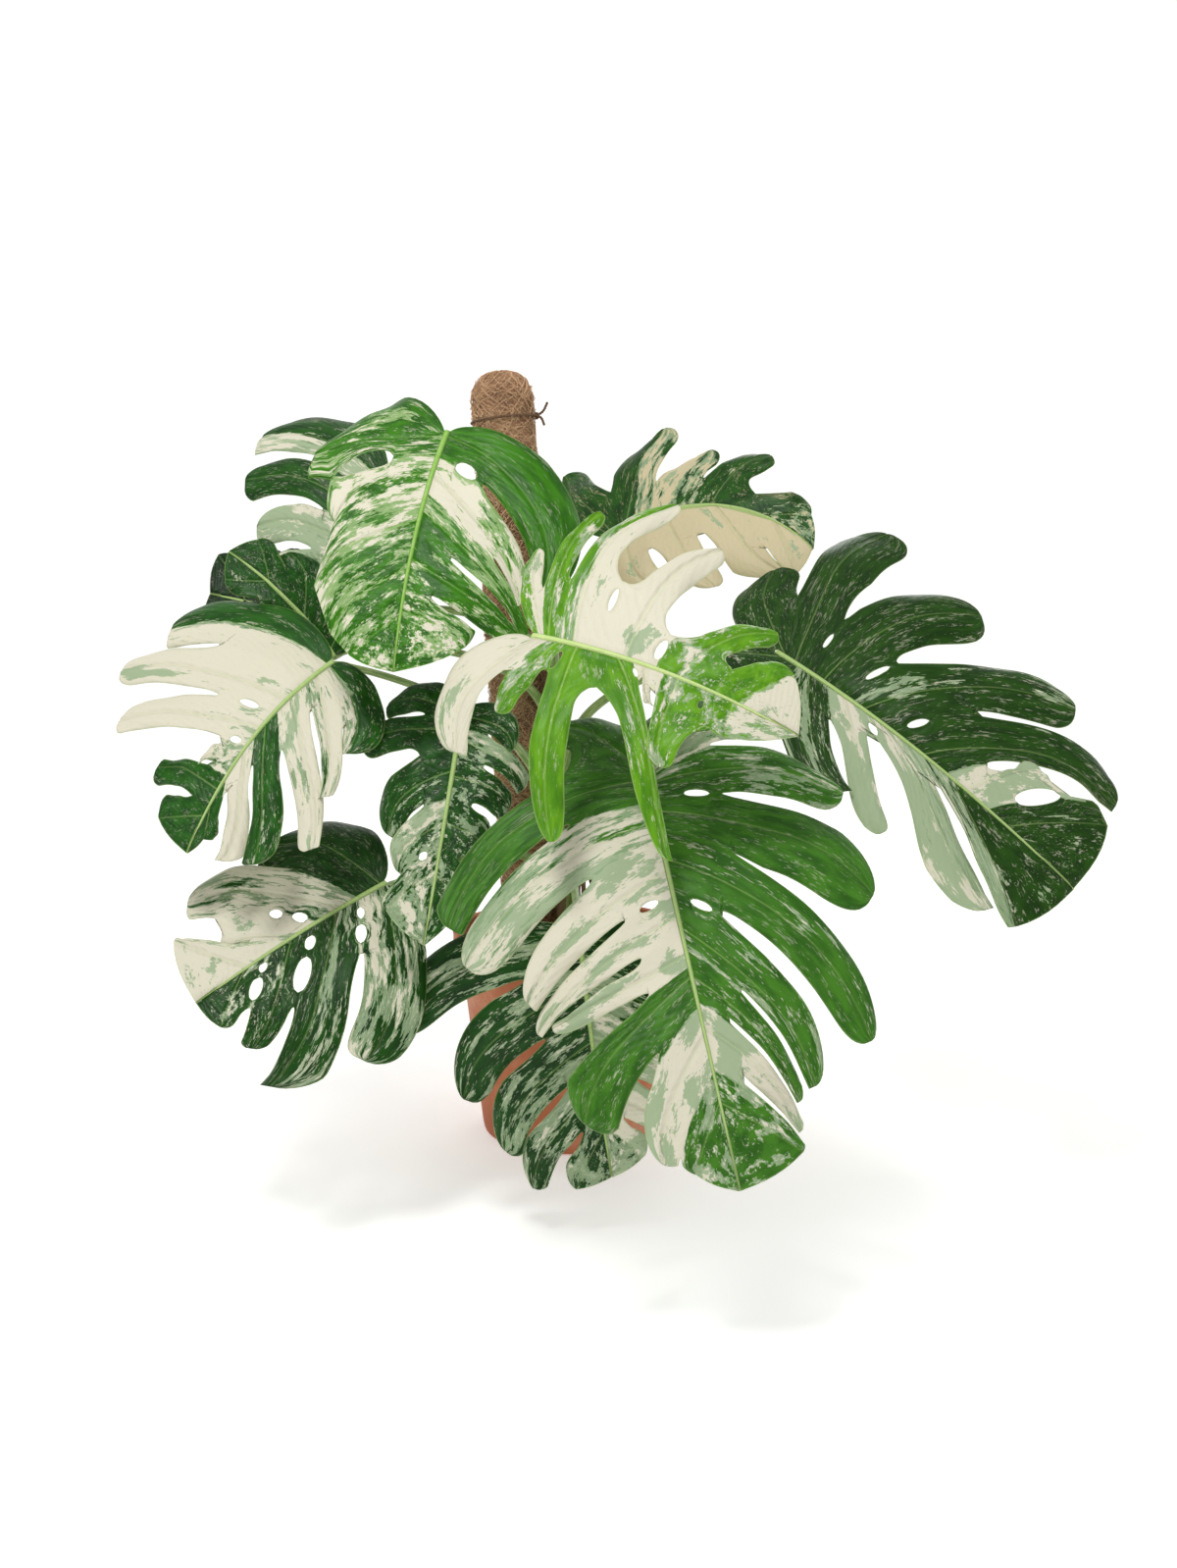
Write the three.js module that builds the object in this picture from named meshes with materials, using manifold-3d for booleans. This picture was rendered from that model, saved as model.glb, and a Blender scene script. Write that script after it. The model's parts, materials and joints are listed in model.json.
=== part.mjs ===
// Potted variegated monstera on a coir pole: split leaves on long petioles, a vine tied to the pole,
// aerial roots, potting soil and a plain round pot. Millimetres, +Z up, the pot's underside at z = 0.
import * as THREE from 'three';
import Module from 'manifold-3d';

// ---------------------------------------------------------------- driving dimensions
const GAP = 0.4;                       // clearance between neighbouring pieces

const POT_HEIGHT = 265;
const POT_FOOT_RADIUS = 112;
const POT_RIM_RADIUS = 150;
const POT_WALL = 6;
const POT_FLOOR = 9;
const RIM_HEIGHT = 26;                 // the thicker band around the top
const RIM_PROUD = 6;
const SOIL_LEVEL = 232;
const SOIL_CROWN = 8;                  // how far the soil is heaped in the middle

const POLE_FOOT = new THREE.Vector3(-34, 20, 30);
const POLE_TOP = new THREE.Vector3(-84, 20, 964);
const STAKE_RADIUS = 12;
const WRAP_RADIUS = 38;
const WRAP_FOOT = 150;                 // height along the pole where the coir starts, below the soil

const STEM_SIDE = new THREE.Vector3(0.85, -0.53, 0);   // which side of the pole the vine climbs
const STEM_FOOT_RADIUS = 17;
const STEM_TIP_RADIUS = 10;
const STEM_FOOT = 165;
const STEM_TIP = 815;

const PETIOLE_FOOT_RADIUS = 6;
const PETIOLE_END_RADIUS = 3.6;
const ROOT_RADIUS = 3.5;
const TWINE_RADIUS = 1.6;

const BLADE = 1.2;                     // leaf thickness
const RIB_DEPTH = 3.2;                 // extra thickness along the midrib at the leaf's base
const RIB_HALF = 2.6;                  // half the midrib's width at the base
const TIP_FROM = 0.88;                 // where the last lobes leave the midrib
const ROWS = [0, 0.18, 0.36, 0.6, 0.82, 1];   // cross lines along each lobe, as shares of its length

// ---------------------------------------------------------------- the leaves
// Each leaf hangs from its base to its tip and faces the way "face" points. Angles in degrees:
// arch bends the midrib over its length, sway bends it sideways, fold lifts the two halves, curl drops
// their edges. "left" and "right" hold the lobes from the base to the tip, each as
//   [start along the midrib, angle from the midrib, length, width, bend, depth of the next split]
// where the split is a share of the lobe's length (1 means that the margin isn't split there), and a
// seventh value, if any, is a hole beside the midrib: [place, half length, width].
const LEAVES = {
  top_leaf: {
    base: [-130, -205, 870], tip: [-175, -350, 615], face: [-0.05, -0.85, 0.5],
    arch: 24, sway: -8, fold: 6, curl: 16, node: 735,
    left: [
      [0.03, 68, 130, 112, -30, 0.85],
      [0.22, 80, 125, 50, 60, 0.34],
      [0.42, 60, 130, 62, 12, 1],
      [0.62, 54, 105, 50, 10, 1],
      [0.80, 48, 65, 50, 8, 1],
    ],
    right: [
      [0.03, 72, 250, 72, 55, 0.30, [0.22, 0.07, 7]],
      [0.22, 52, 190, 36, 14, 0.62],
      [0.38, 54, 185, 38, 8, 0.30],
      [0.58, 60, 145, 34, -8, 0.28],
      [0.78, 76, 80, 64, 25, 1],
    ],
  },
  centre_leaf: {
    base: [-30, -415, 655], tip: [220, -500, 565], face: [-0.05, -0.8, 0.55],
    arch: 30, sway: 6, fold: 10, curl: 20, node: 585,
    left: [
      [0.02, 130, 145, 66, 40, 0.42],
      [0.10, 112, 95, 26, 10, 0.26, [0.14, 0.08, 7]],
      [0.18, 84, 205, 32, 16, 0.22],
      [0.34, 46, 210, 34, -20, 0.20, [0.10, 0.05, 4]],
      [0.44, 66, 44, 20, 0, 0.40],
      [0.56, 82, 95, 32, 0, 0.75, [0.27, 0.08, 5]],
      [0.76, 80, 40, 46, 5, 1],
    ],
    right: [
      [0.02, 124, 110, 22, 10, 0.40],
      [0.06, 110, 165, 22, 25, 0.35],
      [0.16, 108, 215, 36, 42, 0.40, [0.28, 0.07, 7]],
      [0.36, 96, 160, 34, 30, 0.26, [0.13, 0.08, 10]],
      [0.56, 76, 110, 28, 40, 0.34],
      [0.78, 64, 60, 58, 15, 1],
    ],
  },
  front_leaf: {
    base: [80, -395, 525], tip: [160, -615, 170], face: [0.02, -0.8, 0.55],
    arch: 34, sway: -5, fold: 6, curl: 24, node: 470,
    left: [
      [0.02, 150, 120, 52, 10, 0.50],
      [0.05, 88, 260, 70, 46, 0.34],
      [0.17, 76, 235, 44, 22, 0.36],
      [0.30, 66, 185, 42, 14, 0.30, [0.14, 0.06, 8]],
      [0.41, 68, 170, 32, 10, 0.28],
      [0.50, 68, 140, 18, -12, 0.30],
      [0.55, 60, 165, 62, 12, 0.40],
      [0.68, 44, 120, 34, 18, 0.90],
      [0.82, 36, 65, 44, 8, 1],
    ],
    right: [
      [0.02, 144, 140, 62, 30, 0.45],
      [0.06, 100, 200, 46, 30, 0.32, [0.20, 0.06, 8]],
      [0.14, 76, 230, 68, 24, 0.30],
      [0.27, 60, 265, 42, 40, 0.22, [0.15, 0.06, 7]],
      [0.44, 44, 190, 42, 22, 0.36],
      [0.55, 44, 150, 24, 22, 0.24],
      [0.66, 48, 130, 24, 24, 0.30],
      [0.82, 52, 85, 36, 8, 1],
    ],
  },
  right_leaf: {
    base: [245, -135, 625], tip: [545, -315, 380], face: [0.1, -0.85, 0.5],
    arch: 22, sway: 2, fold: 6, curl: 14, node: 520,
    left: [
      [0.02, 150, 85, 60, 10, 0.80],
      [0.12, 54, 165, 70, 20, 0.30],
      [0.24, 40, 175, 26, 0, 0.22, [0.14, 0.06, 8]],
      [0.38, 20, 230, 56, -14, 0.24],
      [0.60, 24, 175, 74, -6, 0.90],
    ],
    right: [
      [0.02, 150, 140, 72, 10, 0.50],
      [0.06, 114, 245, 84, 10, 0.36],
      [0.16, 94, 220, 72, 38, 0.32, [0.20, 0.07, 8]],
      [0.30, 64, 245, 60, 30, 0.42, [0.11, 0.05, 9]],
      [0.50, 58, 230, 68, 44, 0.30],
      [0.64, 74, 80, 22, 10, 0.22],
      [0.78, 56, 110, 98, 16, 0.80],
    ],
  },
  left_leaf: {
    base: [-255, -240, 620], tip: [-395, -345, 425], face: [-0.15, -0.85, 0.45],
    arch: 20, sway: -26, fold: 4, curl: 14, node: 445,
    left: [
      [0.03, 84, 210, 70, 26, 0.55],
      [0.26, 80, 220, 44, 14, 0.34, [0.14, 0.06, 8]],
      [0.42, 74, 170, 44, 10, 0.30, [0.12, 0.06, 8]],
      [0.58, 78, 40, 30, 10, 0.40],
      [0.72, 100, 80, 40, 6, 0.35],
      [0.84, 70, 50, 52, 6, 1],
    ],
    right: [
      [0.03, 86, 120, 52, 40, 0.60],
      [0.10, 60, 150, 42, 10, 0.22],
      [0.24, 56, 180, 36, 4, 0.30],
      [0.40, 36, 155, 38, -6, 0.25],
      [0.54, 32, 120, 36, 6, 0.22],
      [0.80, 20, 35, 34, 6, 1],
    ],
  },
  low_left_leaf: {
    base: [-200, -255, 375], tip: [-385, -370, 270], face: [-0.15, -0.8, 0.5],
    arch: 18, sway: 0, fold: 6, curl: 16, node: 325,
    left: [
      [0.03, 78, 135, 90, 10, 0.50],
      [0.26, 56, 165, 64, 18, 0.90, [0.14, 0.06, 10]],
      [0.50, 36, 75, 36, 0, 0.50],
      [0.74, 56, 85, 46, -6, 1],
    ],
    right: [
      [0.03, 70, 210, 60, 30, 0.28, [0.16, 0.05, 7]],
      [0.28, 48, 205, 84, 10, 0.36, [0.12, 0.04, 8]],
      [0.52, 46, 125, 38, 6, 0.30, [0.20, 0.06, 8]],
      [0.76, 32, 65, 30, -6, 1],
    ],
  },
  mid_left_leaf: {
    base: [-110, -285, 570], tip: [-145, -380, 335], face: [-0.1, -0.8, 0.55],
    arch: 20, sway: 6, fold: 6, curl: 18, node: 395,
    left: [
      [0.03, 120, 85, 46, 24, 0.40],
      [0.10, 92, 105, 42, 10, 0.36],
      [0.28, 68, 100, 50, 40, 0.30],
      [0.50, 56, 70, 40, 20, 0.70, [0.27, 0.08, 8]],
      [0.70, 48, 65, 46, 10, 0.90],
    ],
    right: [
      [0.03, 80, 70, 42, 20, 0.40],
      [0.14, 72, 90, 38, 14, 0.40],
      [0.30, 80, 70, 38, 10, 0.40],
      [0.50, 76, 55, 44, 10, 0.50],
      [0.72, 56, 40, 46, 10, 1],
    ],
  },
  back_left_leaf: {
    base: [-225, 15, 835], tip: [-300, -60, 660], face: [-0.15, -0.9, 0.4],
    arch: 16, sway: -10, fold: 6, curl: 8, node: 690, leave: -125,
    left: [
      [0.04, 110, 190, 84, 24, 0.36],
      [0.28, 106, 175, 56, 26, 0.34],
      [0.50, 100, 125, 48, 20, 0.40],
      [0.72, 88, 85, 46, 12, 1],
    ],
    right: [
      [0.04, 82, 70, 72, 20, 0.50],
      [0.30, 68, 76, 58, 16, 0.50],
      [0.60, 52, 80, 58, 10, 1],
    ],
  },
  small_left_leaf: {
    base: [-270, -150, 620], tip: [-390, -140, 740], face: [-0.2, -0.8, 0.5],
    arch: 30, sway: -20, fold: 8, curl: 20, node: 550,
    left: [
      [0.06, 62, 90, 56, 20, 0.50],
      [0.34, 50, 75, 50, 20, 0.60],
      [0.66, 40, 50, 38, 14, 1],
    ],
    right: [
      [0.06, 76, 75, 50, 14, 0.50],
      [0.36, 60, 65, 46, 10, 0.50],
      [0.68, 44, 45, 36, 8, 1],
    ],
  },
  shade_leaf: {
    base: [-310, -10, 655], tip: [-445, -15, 690], face: [-0.25, -0.8, 0.45],
    arch: 24, sway: 0, fold: 6, curl: 16, node: 615, leave: -130,
    left: [
      [0.06, 80, 100, 62, 16, 0.50],
      [0.36, 66, 100, 54, 14, 0.50],
      [0.68, 50, 75, 46, 8, 1],
    ],
    right: [
      [0.06, 84, 100, 62, 16, 0.50],
      [0.36, 70, 85, 54, 14, 0.50],
      [0.68, 54, 60, 46, 8, 1],
    ],
  },
  top_right_leaf: {
    base: [55, 105, 760], tip: [305, 0, 745], face: [0.1, -0.9, 0.4],
    arch: 20, sway: 84, fold: 0, curl: 16, node: 650,
    left: [
      [0.06, 104, 95, 50, 10, 0.40],
      [0.26, 74, 135, 44, 0, 0.36],
      [0.50, 44, 130, 70, -10, 0.60],
      [0.78, 32, 80, 54, -6, 1],
    ],
    right: [
      [0.02, 96, 170, 54, -14, 0.42],
      [0.08, 60, 190, 60, -8, 0.40],
      [0.28, 66, 110, 56, -4, 0.44],
      [0.48, 80, 110, 50, 36, 0.40],
      [0.74, 36, 55, 60, 14, 1],
    ],
  },
  bottom_leaf: {
    base: [15, -320, 335], tip: [50, -345, 70], face: [0, -0.85, 0.5],
    arch: 24, sway: -4, fold: 6, curl: 20, node: 285,
    left: [
      [0.03, 92, 230, 60, 34, 0.30],
      [0.22, 76, 185, 62, 34, 0.30],
      [0.44, 64, 155, 56, 26, 0.26],
      [0.62, 52, 135, 46, 16, 0.30],
      [0.80, 36, 70, 42, 8, 1],
    ],
    right: [
      [0.03, 80, 110, 64, 20, 0.40],
      [0.20, 68, 145, 52, 20, 0.40],
      [0.42, 64, 135, 48, 16, 0.40],
      [0.62, 58, 100, 42, 10, 0.34],
      [0.78, 46, 55, 38, 8, 1],
    ],
  },
};

// ---------------------------------------------------------------- finishes
const finish = (color, roughness) => new THREE.MeshStandardMaterial({ color, roughness, metalness: 0 });
const LEAF_FINISH = {
  top_leaf: finish(0x6f9a4c, 0.45),
  centre_leaf: finish(0x8fb257, 0.42),
  front_leaf: finish(0x4f7a45, 0.42),
  right_leaf: finish(0x33562f, 0.42),
  left_leaf: finish(0xb9c4a4, 0.45),
  low_left_leaf: finish(0x6d8563, 0.45),
  mid_left_leaf: finish(0x4b7040, 0.45),
  back_left_leaf: finish(0x5c7d52, 0.45),
  small_left_leaf: finish(0x3c6a32, 0.45),
  shade_leaf: finish(0x2c4d2a, 0.48),
  top_right_leaf: finish(0xb3b088, 0.5),
  bottom_leaf: finish(0x446b3d, 0.45),
};
const POT_FINISH = finish(0xb0694a, 0.85);
const SOIL_FINISH = finish(0x33261d, 0.95);
const STAKE_FINISH = finish(0xa5805a, 0.8);
const COIR_FINISH = finish(0x9a6a4c, 0.95);
const STEM_FINISH = finish(0x5d7a3c, 0.6);
const ROOT_FINISH = finish(0x6b4a33, 0.85);
const TWINE_FINISH = finish(0x4a3a2c, 0.9);

// ---------------------------------------------------------------- small helpers
const rad = THREE.MathUtils.degToRad;
const clamp01 = (x) => Math.min(Math.max(x, 0), 1);
const lerp = THREE.MathUtils.lerp;
const mix2 = (a, b, t) => [lerp(a[0], b[0], t), lerp(a[1], b[1], t)];

// A closed mesh from corner points and triangles, turned to face out.
function solid(points, triangles) {
  let volume = 0;
  for (const [a, b, c] of triangles) {
    volume += points[a].dot(new THREE.Vector3().crossVectors(points[b], points[c]));
  }
  const turned = volume < 0 ? triangles.map(([a, b, c]) => [a, c, b]) : triangles;
  const geometry = new THREE.BufferGeometry();
  geometry.setFromPoints(points);
  geometry.setIndex(turned.flat());
  return geometry;
}

// Two triangles for a four-sided cell, or one where two of its corners are the same point.
function cell(faces, a, b, c, d) {
  const corners = [a, b, c, d].filter((value, index, all) => value !== all[(index + 3) % 4]);
  for (let i = 1; i + 1 < corners.length; i += 1) {
    faces.push([corners[0], corners[i], corners[i + 1]]);
  }
}

// ---------------------------------------------------------------- leaf shape
// The midrib in the flat leaf: an arc that turns through "sway" between base and tip.
function midrib(leaf, t) {
  if (Math.abs(leaf.sway) < 1e-6) return [0, t * leaf.flatLength];
  const radius = leaf.length / leaf.sway;
  const start = leaf.sway / 2;
  const heading = start - leaf.sway * t;
  return [radius * (Math.cos(heading) - Math.cos(start)), radius * (Math.sin(start) - Math.sin(heading))];
}

// The midrib's edge on one side, where the veins start.
function ribEdge(leaf, side, t) {
  const heading = leaf.sway / 2 - leaf.sway * t;
  const [u, v] = midrib(leaf, t);
  const half = side * lerp(RIB_HALF, 0.8, t);
  return [u + half * Math.cos(heading), v - half * Math.sin(heading)];
}

// A point on a lobe's vein, and the direction across it towards the leaf's tip.
function veinPoint(leaf, side, lobe, share) {
  const heading = leaf.sway / 2 - leaf.sway * lobe.at;
  const direction = lobe.angle - lobe.bend * share;
  let across = lobe.length * share * Math.sin(lobe.angle);
  let along = lobe.length * share * Math.cos(lobe.angle);
  if (Math.abs(lobe.bend) > 1e-6) {
    across = (lobe.length / lobe.bend) * (Math.cos(direction) - Math.cos(lobe.angle));
    along = (lobe.length / lobe.bend) * (Math.sin(lobe.angle) - Math.sin(direction));
  }
  const [c, s] = [Math.cos(heading), Math.sin(heading)];
  const turn = (x, y) => [x * side * c + y * s, -x * side * s + y * c];
  const start = ribEdge(leaf, side, lobe.at);
  const step = turn(across, along);
  const forward = turn(-Math.cos(direction), Math.sin(direction));
  return { point: [start[0] + step[0], start[1] + step[1]], forward };
}

// Half width of a lobe as a share of its full half width: constant, then rounded off from "from".
const roundedEnd = (share, from, power) => (1 - clamp01((share - from) / (1 - from)) ** power) ** (1 / power);

// The flat leaf placed in the room: arched along the midrib, folded and curled across it.
function place(leaf, [u, v], lift) {
  const reach = Math.abs(u);
  const bend = leaf.curl / (leaf.flatLength / 2);
  const out = ((Math.sin(leaf.fold) - Math.sin(leaf.fold - bend * reach)) / bend) * Math.sign(u);
  const rise = (Math.cos(leaf.fold - bend * reach) - Math.cos(leaf.fold)) / bend + lift;
  const slope = leaf.arch / 2 - (leaf.arch * v) / leaf.flatLength;
  const radius = leaf.flatLength / leaf.arch;
  const forward = radius * (Math.sin(leaf.arch / 2) - Math.sin(slope)) - Math.sin(slope) * rise;
  const up = radius * (Math.cos(slope) - Math.cos(leaf.arch / 2)) + Math.cos(slope) * rise;
  return leaf.base.clone()
    .addScaledVector(leaf.alongAxis, forward)
    .addScaledVector(leaf.normal, up)
    .addScaledVector(leaf.acrossAxis, out);
}

// Works out a leaf's axes, lengths and lobes from its table entry.
function readLeaf(entry) {
  const base = new THREE.Vector3(...entry.base);
  const chord = new THREE.Vector3(...entry.tip).sub(base);
  const alongAxis = chord.clone().normalize();
  const face = new THREE.Vector3(...entry.face);
  const normal = face.clone().addScaledVector(alongAxis, -face.dot(alongAxis)).normalize();
  const acrossAxis = new THREE.Vector3().crossVectors(normal, alongAxis);
  const [arch, sway] = [rad(entry.arch), rad(entry.sway)];
  const flatLength = (chord.length() * arch) / 2 / Math.sin(arch / 2);
  const length = sway === 0 ? flatLength : (flatLength * sway) / 2 / Math.sin(sway / 2);
  const lobes = (rows) => rows.map(([at, angle, long, width, bend, split, hole]) => ({
    at, angle: rad(angle), length: long, half: width / 2, bend: rad(bend), split, hole,
  }));
  return {
    base, alongAxis, normal, acrossAxis, arch, sway, flatLength, length,
    fold: rad(entry.fold), curl: rad(entry.curl),
    lobes: { '-1': lobes(entry.left), 1: lobes(entry.right) },
  };
}

// One half of the flat leaf: a strip of cells on each side of every vein, neighbours joined as far
// as the split between them. Returns the points along the midrib's edge, each as [place, index].
function addHalf(leaf, side, points, faces) {
  const lobes = leaf.lobes[side];
  const last = ROWS.length - 1;
  const add = (point) => points.push(point) - 1;
  const veins = lobes.map((lobe) => ROWS.map((share) => veinPoint(leaf, side, lobe, share)));
  const veinIds = veins.map((row) => row.map(({ point }) => add(point)));
  const backs = [];
  const fronts = [];

  // the outer edge of a lobe on one side of its vein, "way" 1 towards the leaf's tip
  const edge = (i, j, way, limit) => {
    const { point, forward } = veins[i][j];
    const shape = way > 0 ? roundedEnd(ROWS[j], 0.55, 2.4) : roundedEnd(ROWS[j], 0.4, 1.9);
    const half = Math.min(lobes[i].half * shape, Math.max(limit * 0.97, lobes[i].half * 0.25));
    return [point[0] + way * half * forward[0], point[1] + way * half * forward[1]];
  };

  backs[0] = ROWS.map((share, j) => {
    const t = THREE.MathUtils.smoothstep(share, 0, 0.4);
    return j === last ? veinIds[0][last] : add(mix2(ribEdge(leaf, side, 0), edge(0, j, -1, 1e9), t));
  });
  for (let i = 0; i + 1 < lobes.length; i += 1) {
    fronts[i] = [];
    backs[i + 1] = [];
    ROWS.forEach((share, j) => {
      const [own, next] = [veins[i][j], veins[i + 1][j]];
      const middle = mix2(own.point, next.point, 0.5);
      const hole = lobes[i].hole;
      const inHole = hole && Math.abs(share - hole[0]) < hole[1];
      if (share <= lobes[i].split && !inHole) {
        fronts[i][j] = add(middle);
        backs[i + 1][j] = fronts[i][j];
      } else if (j === last) {
        fronts[i][j] = veinIds[i][last];
        backs[i + 1][j] = veinIds[i + 1][last];
      } else {
        const x = clamp01((share - lobes[i].split) / 0.12);
        const open = inHole ? 0 : Math.sqrt(1 - (1 - x) ** 2);
        const gap = inHole ? (Math.sqrt(1 - ((share - hole[0]) / hole[1]) ** 2) * hole[2]) / 2 : 0;
        const put = (k, way) => {
          const { point, forward } = veins[k][j];
          const across = (middle[0] - point[0]) * forward[0] + (middle[1] - point[1]) * forward[1];
          const spot = mix2(middle, edge(k, j, way, Math.abs(across)), open);
          return add([spot[0] - way * gap * forward[0], spot[1] - way * gap * forward[1]]);
        };
        fronts[i][j] = put(i, 1);
        backs[i + 1][j] = put(i + 1, -1);
      }
    });
  }
  const end = lobes.length - 1;
  fronts[end] = ROWS.map((share) => add(ribEdge(leaf, side, lerp(TIP_FROM, 1, share))));

  lobes.forEach((lobe, i) => {
    for (let j = 0; j < last; j += 1) {
      const columns = [backs[i], veinIds[i], fronts[i]];
      for (let k = 0; k < 2; k += 1) {
        const [a, b] = [columns[k], columns[k + 1]];
        if (side > 0) cell(faces, a[j], a[j + 1], b[j + 1], b[j]);
        else cell(faces, a[j], b[j], b[j + 1], a[j + 1]);
      }
    }
  });

  const rib = [[0, backs[0][0]]];
  lobes.forEach((lobe, i) => {
    rib.push([lobe.at, veinIds[i][0]]);
    if (i < end) rib.push([(lobe.at + lobes[i + 1].at) / 2, fronts[i][0]]);
  });
  fronts[end].forEach((id, j) => rib.push([lerp(TIP_FROM, 1, ROWS[j]), id]));
  return rib;
}

// A whole leaf as one closed plate, thicker along the midrib.
function leafBlade(leaf) {
  const points = [];
  const faces = [];
  const left = addHalf(leaf, -1, points, faces);
  const right = addHalf(leaf, 1, points, faces);
  for (let i = 0, j = 0; i + 1 < left.length || j + 1 < right.length;) {
    const stepLeft = j + 1 >= right.length || (i + 1 < left.length && left[i + 1][0] < right[j + 1][0]);
    if (stepLeft) faces.push([left[i][1], right[j][1], left[i += 1][1]]);
    else faces.push([left[i][1], right[j][1], right[j += 1][1]]);
  }
  const ribPlace = new Map([...left, ...right].map(([t, id]) => [id, t]));
  const lower = points.map((point, id) => {
    const rib = ribPlace.has(id) ? RIB_DEPTH * (1 - ribPlace.get(id)) : 0;
    return place(leaf, point, -BLADE / 2 - rib);
  });
  const upper = points.map((point) => place(leaf, point, BLADE / 2));
  const count = points.length;
  const triangles = [];
  const edges = new Set(faces.flatMap(([a, b, c]) => [`${a},${b}`, `${b},${c}`, `${c},${a}`]));
  for (const [a, b, c] of faces) {
    triangles.push([a + count, b + count, c + count], [a, c, b]);
    for (const [p, q] of [[a, b], [b, c], [c, a]]) {
      if (!edges.has(`${q},${p}`)) triangles.push([p, q, q + count], [p, q + count, p + count]);
    }
  }
  return solid([...lower, ...upper], triangles);
}

// ---------------------------------------------------------------- round pieces
// A solid turned about an axis that starts at "foot" and points along "axis". The profile is a list
// of [radius, height], starting and ending on the axis.
function turned(profile, foot, axis, segments) {
  const turn = new THREE.Quaternion().setFromUnitVectors(new THREE.Vector3(0, 0, 1), axis);
  const points = [];
  const rings = profile.map(([radius, height]) => {
    const ring = [];
    for (let i = 0; i < (radius > 0 ? segments : 1); i += 1) {
      const angle = (2 * Math.PI * i) / segments;
      const point = new THREE.Vector3(radius * Math.cos(angle), radius * Math.sin(angle), height);
      ring.push(points.push(point.applyQuaternion(turn).add(foot)) - 1);
    }
    return ring;
  });
  const triangles = [];
  for (let k = 0; k + 1 < rings.length; k += 1) {
    for (let i = 0; i < segments; i += 1) {
      const pick = (ring, n) => ring[ring.length === 1 ? 0 : n % segments];
      cell(triangles, pick(rings[k], i), pick(rings[k], i + 1), pick(rings[k + 1], i + 1), pick(rings[k + 1], i));
    }
  }
  return solid(points, triangles);
}

// A tube along a curve, its radius running evenly from one end to the other.
function tube(curve, startRadius, endRadius, steps, sides, closed = false) {
  const frames = curve.computeFrenetFrames(steps, closed);
  const points = [];
  const triangles = [];
  const rings = closed ? steps : steps + 1;
  for (let k = 0; k < rings; k += 1) {
    const centre = curve.getPointAt(k / steps);
    const radius = lerp(startRadius, endRadius, k / steps);
    for (let i = 0; i < sides; i += 1) {
      const angle = (2 * Math.PI * i) / sides;
      points.push(centre.clone()
        .addScaledVector(frames.normals[k], radius * Math.cos(angle))
        .addScaledVector(frames.binormals[k], radius * Math.sin(angle)));
    }
  }
  for (let k = 0; k < steps; k += 1) {
    for (let i = 0; i < sides; i += 1) {
      const [a, b] = [k * sides, ((k + 1) % rings) * sides];
      const next = (i + 1) % sides;
      cell(triangles, a + i, a + next, b + next, b + i);
    }
  }
  if (!closed) {
    for (let i = 1; i + 1 < sides; i += 1) {
      const far = steps * sides;
      triangles.push([0, i + 1, i], [far, far + i, far + i + 1]);
    }
  }
  return solid(points, triangles);
}

// ---------------------------------------------------------------- joining and cutting
const wasm = await Module();
wasm.setup();

function toBody(geometry) {
  const vertProperties = new Float32Array(geometry.attributes.position.array);
  const triVerts = new Uint32Array(geometry.index.array);
  const mesh = new wasm.Mesh({ numProp: 3, vertProperties, triVerts });
  mesh.merge();
  return new wasm.Manifold(mesh);
}

function toGeometry(body) {
  const mesh = body.getMesh();
  const geometry = new THREE.BufferGeometry();
  geometry.setAttribute('position', new THREE.BufferAttribute(new Float32Array(mesh.vertProperties), 3));
  geometry.setIndex([...mesh.triVerts]);
  return geometry;
}

const cut = (whole, tools) => toGeometry(tools.reduce((body, tool) => body.subtract(toBody(tool)), toBody(whole)));
const join = (a, b) => toGeometry(toBody(a).add(toBody(b)));

// ---------------------------------------------------------------- the pole and what is tied to it
const poleAxis = POLE_TOP.clone().sub(POLE_FOOT).normalize();
const poleLength = POLE_TOP.distanceTo(POLE_FOOT);
const poleAt = (height) => POLE_FOOT.clone().addScaledVector(poleAxis, (height - POLE_FOOT.z) / poleAxis.z);
const UP = new THREE.Vector3(0, 0, 1);

// The stake runs up inside the coir and stops below its domed top.
function stake(grow) {
  const length = poleLength - 70;
  return turned([[0, -grow], [STAKE_RADIUS + grow, -grow], [STAKE_RADIUS + grow, length + grow],
    [0, length + grow]], POLE_FOOT, poleAxis, 14);
}

// The coir is a thick sleeve over the stake with a closed, rounded top.
function coirWrap(grow) {
  const top = poleLength;
  const bore = grow > 0 ? 0 : STAKE_RADIUS + GAP;
  const outer = WRAP_RADIUS + grow;
  const foot = WRAP_FOOT - grow;
  const profile = [[0, foot], [outer, foot], [outer, top - 34]];
  for (let i = 1; i < 6; i += 1) {
    const angle = (Math.PI / 2) * (i / 6);
    profile.push([outer * Math.cos(angle) ** 0.8, top - 34 + 34 * Math.sin(angle)]);
  }
  profile.push([0, top]);
  if (bore > 0) {
    profile.splice(0, 1, [0, top - 70 + GAP], [bore, top - 70 + GAP], [bore, foot]);
  }
  return turned(profile, POLE_FOOT, poleAxis, 22);
}

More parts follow.
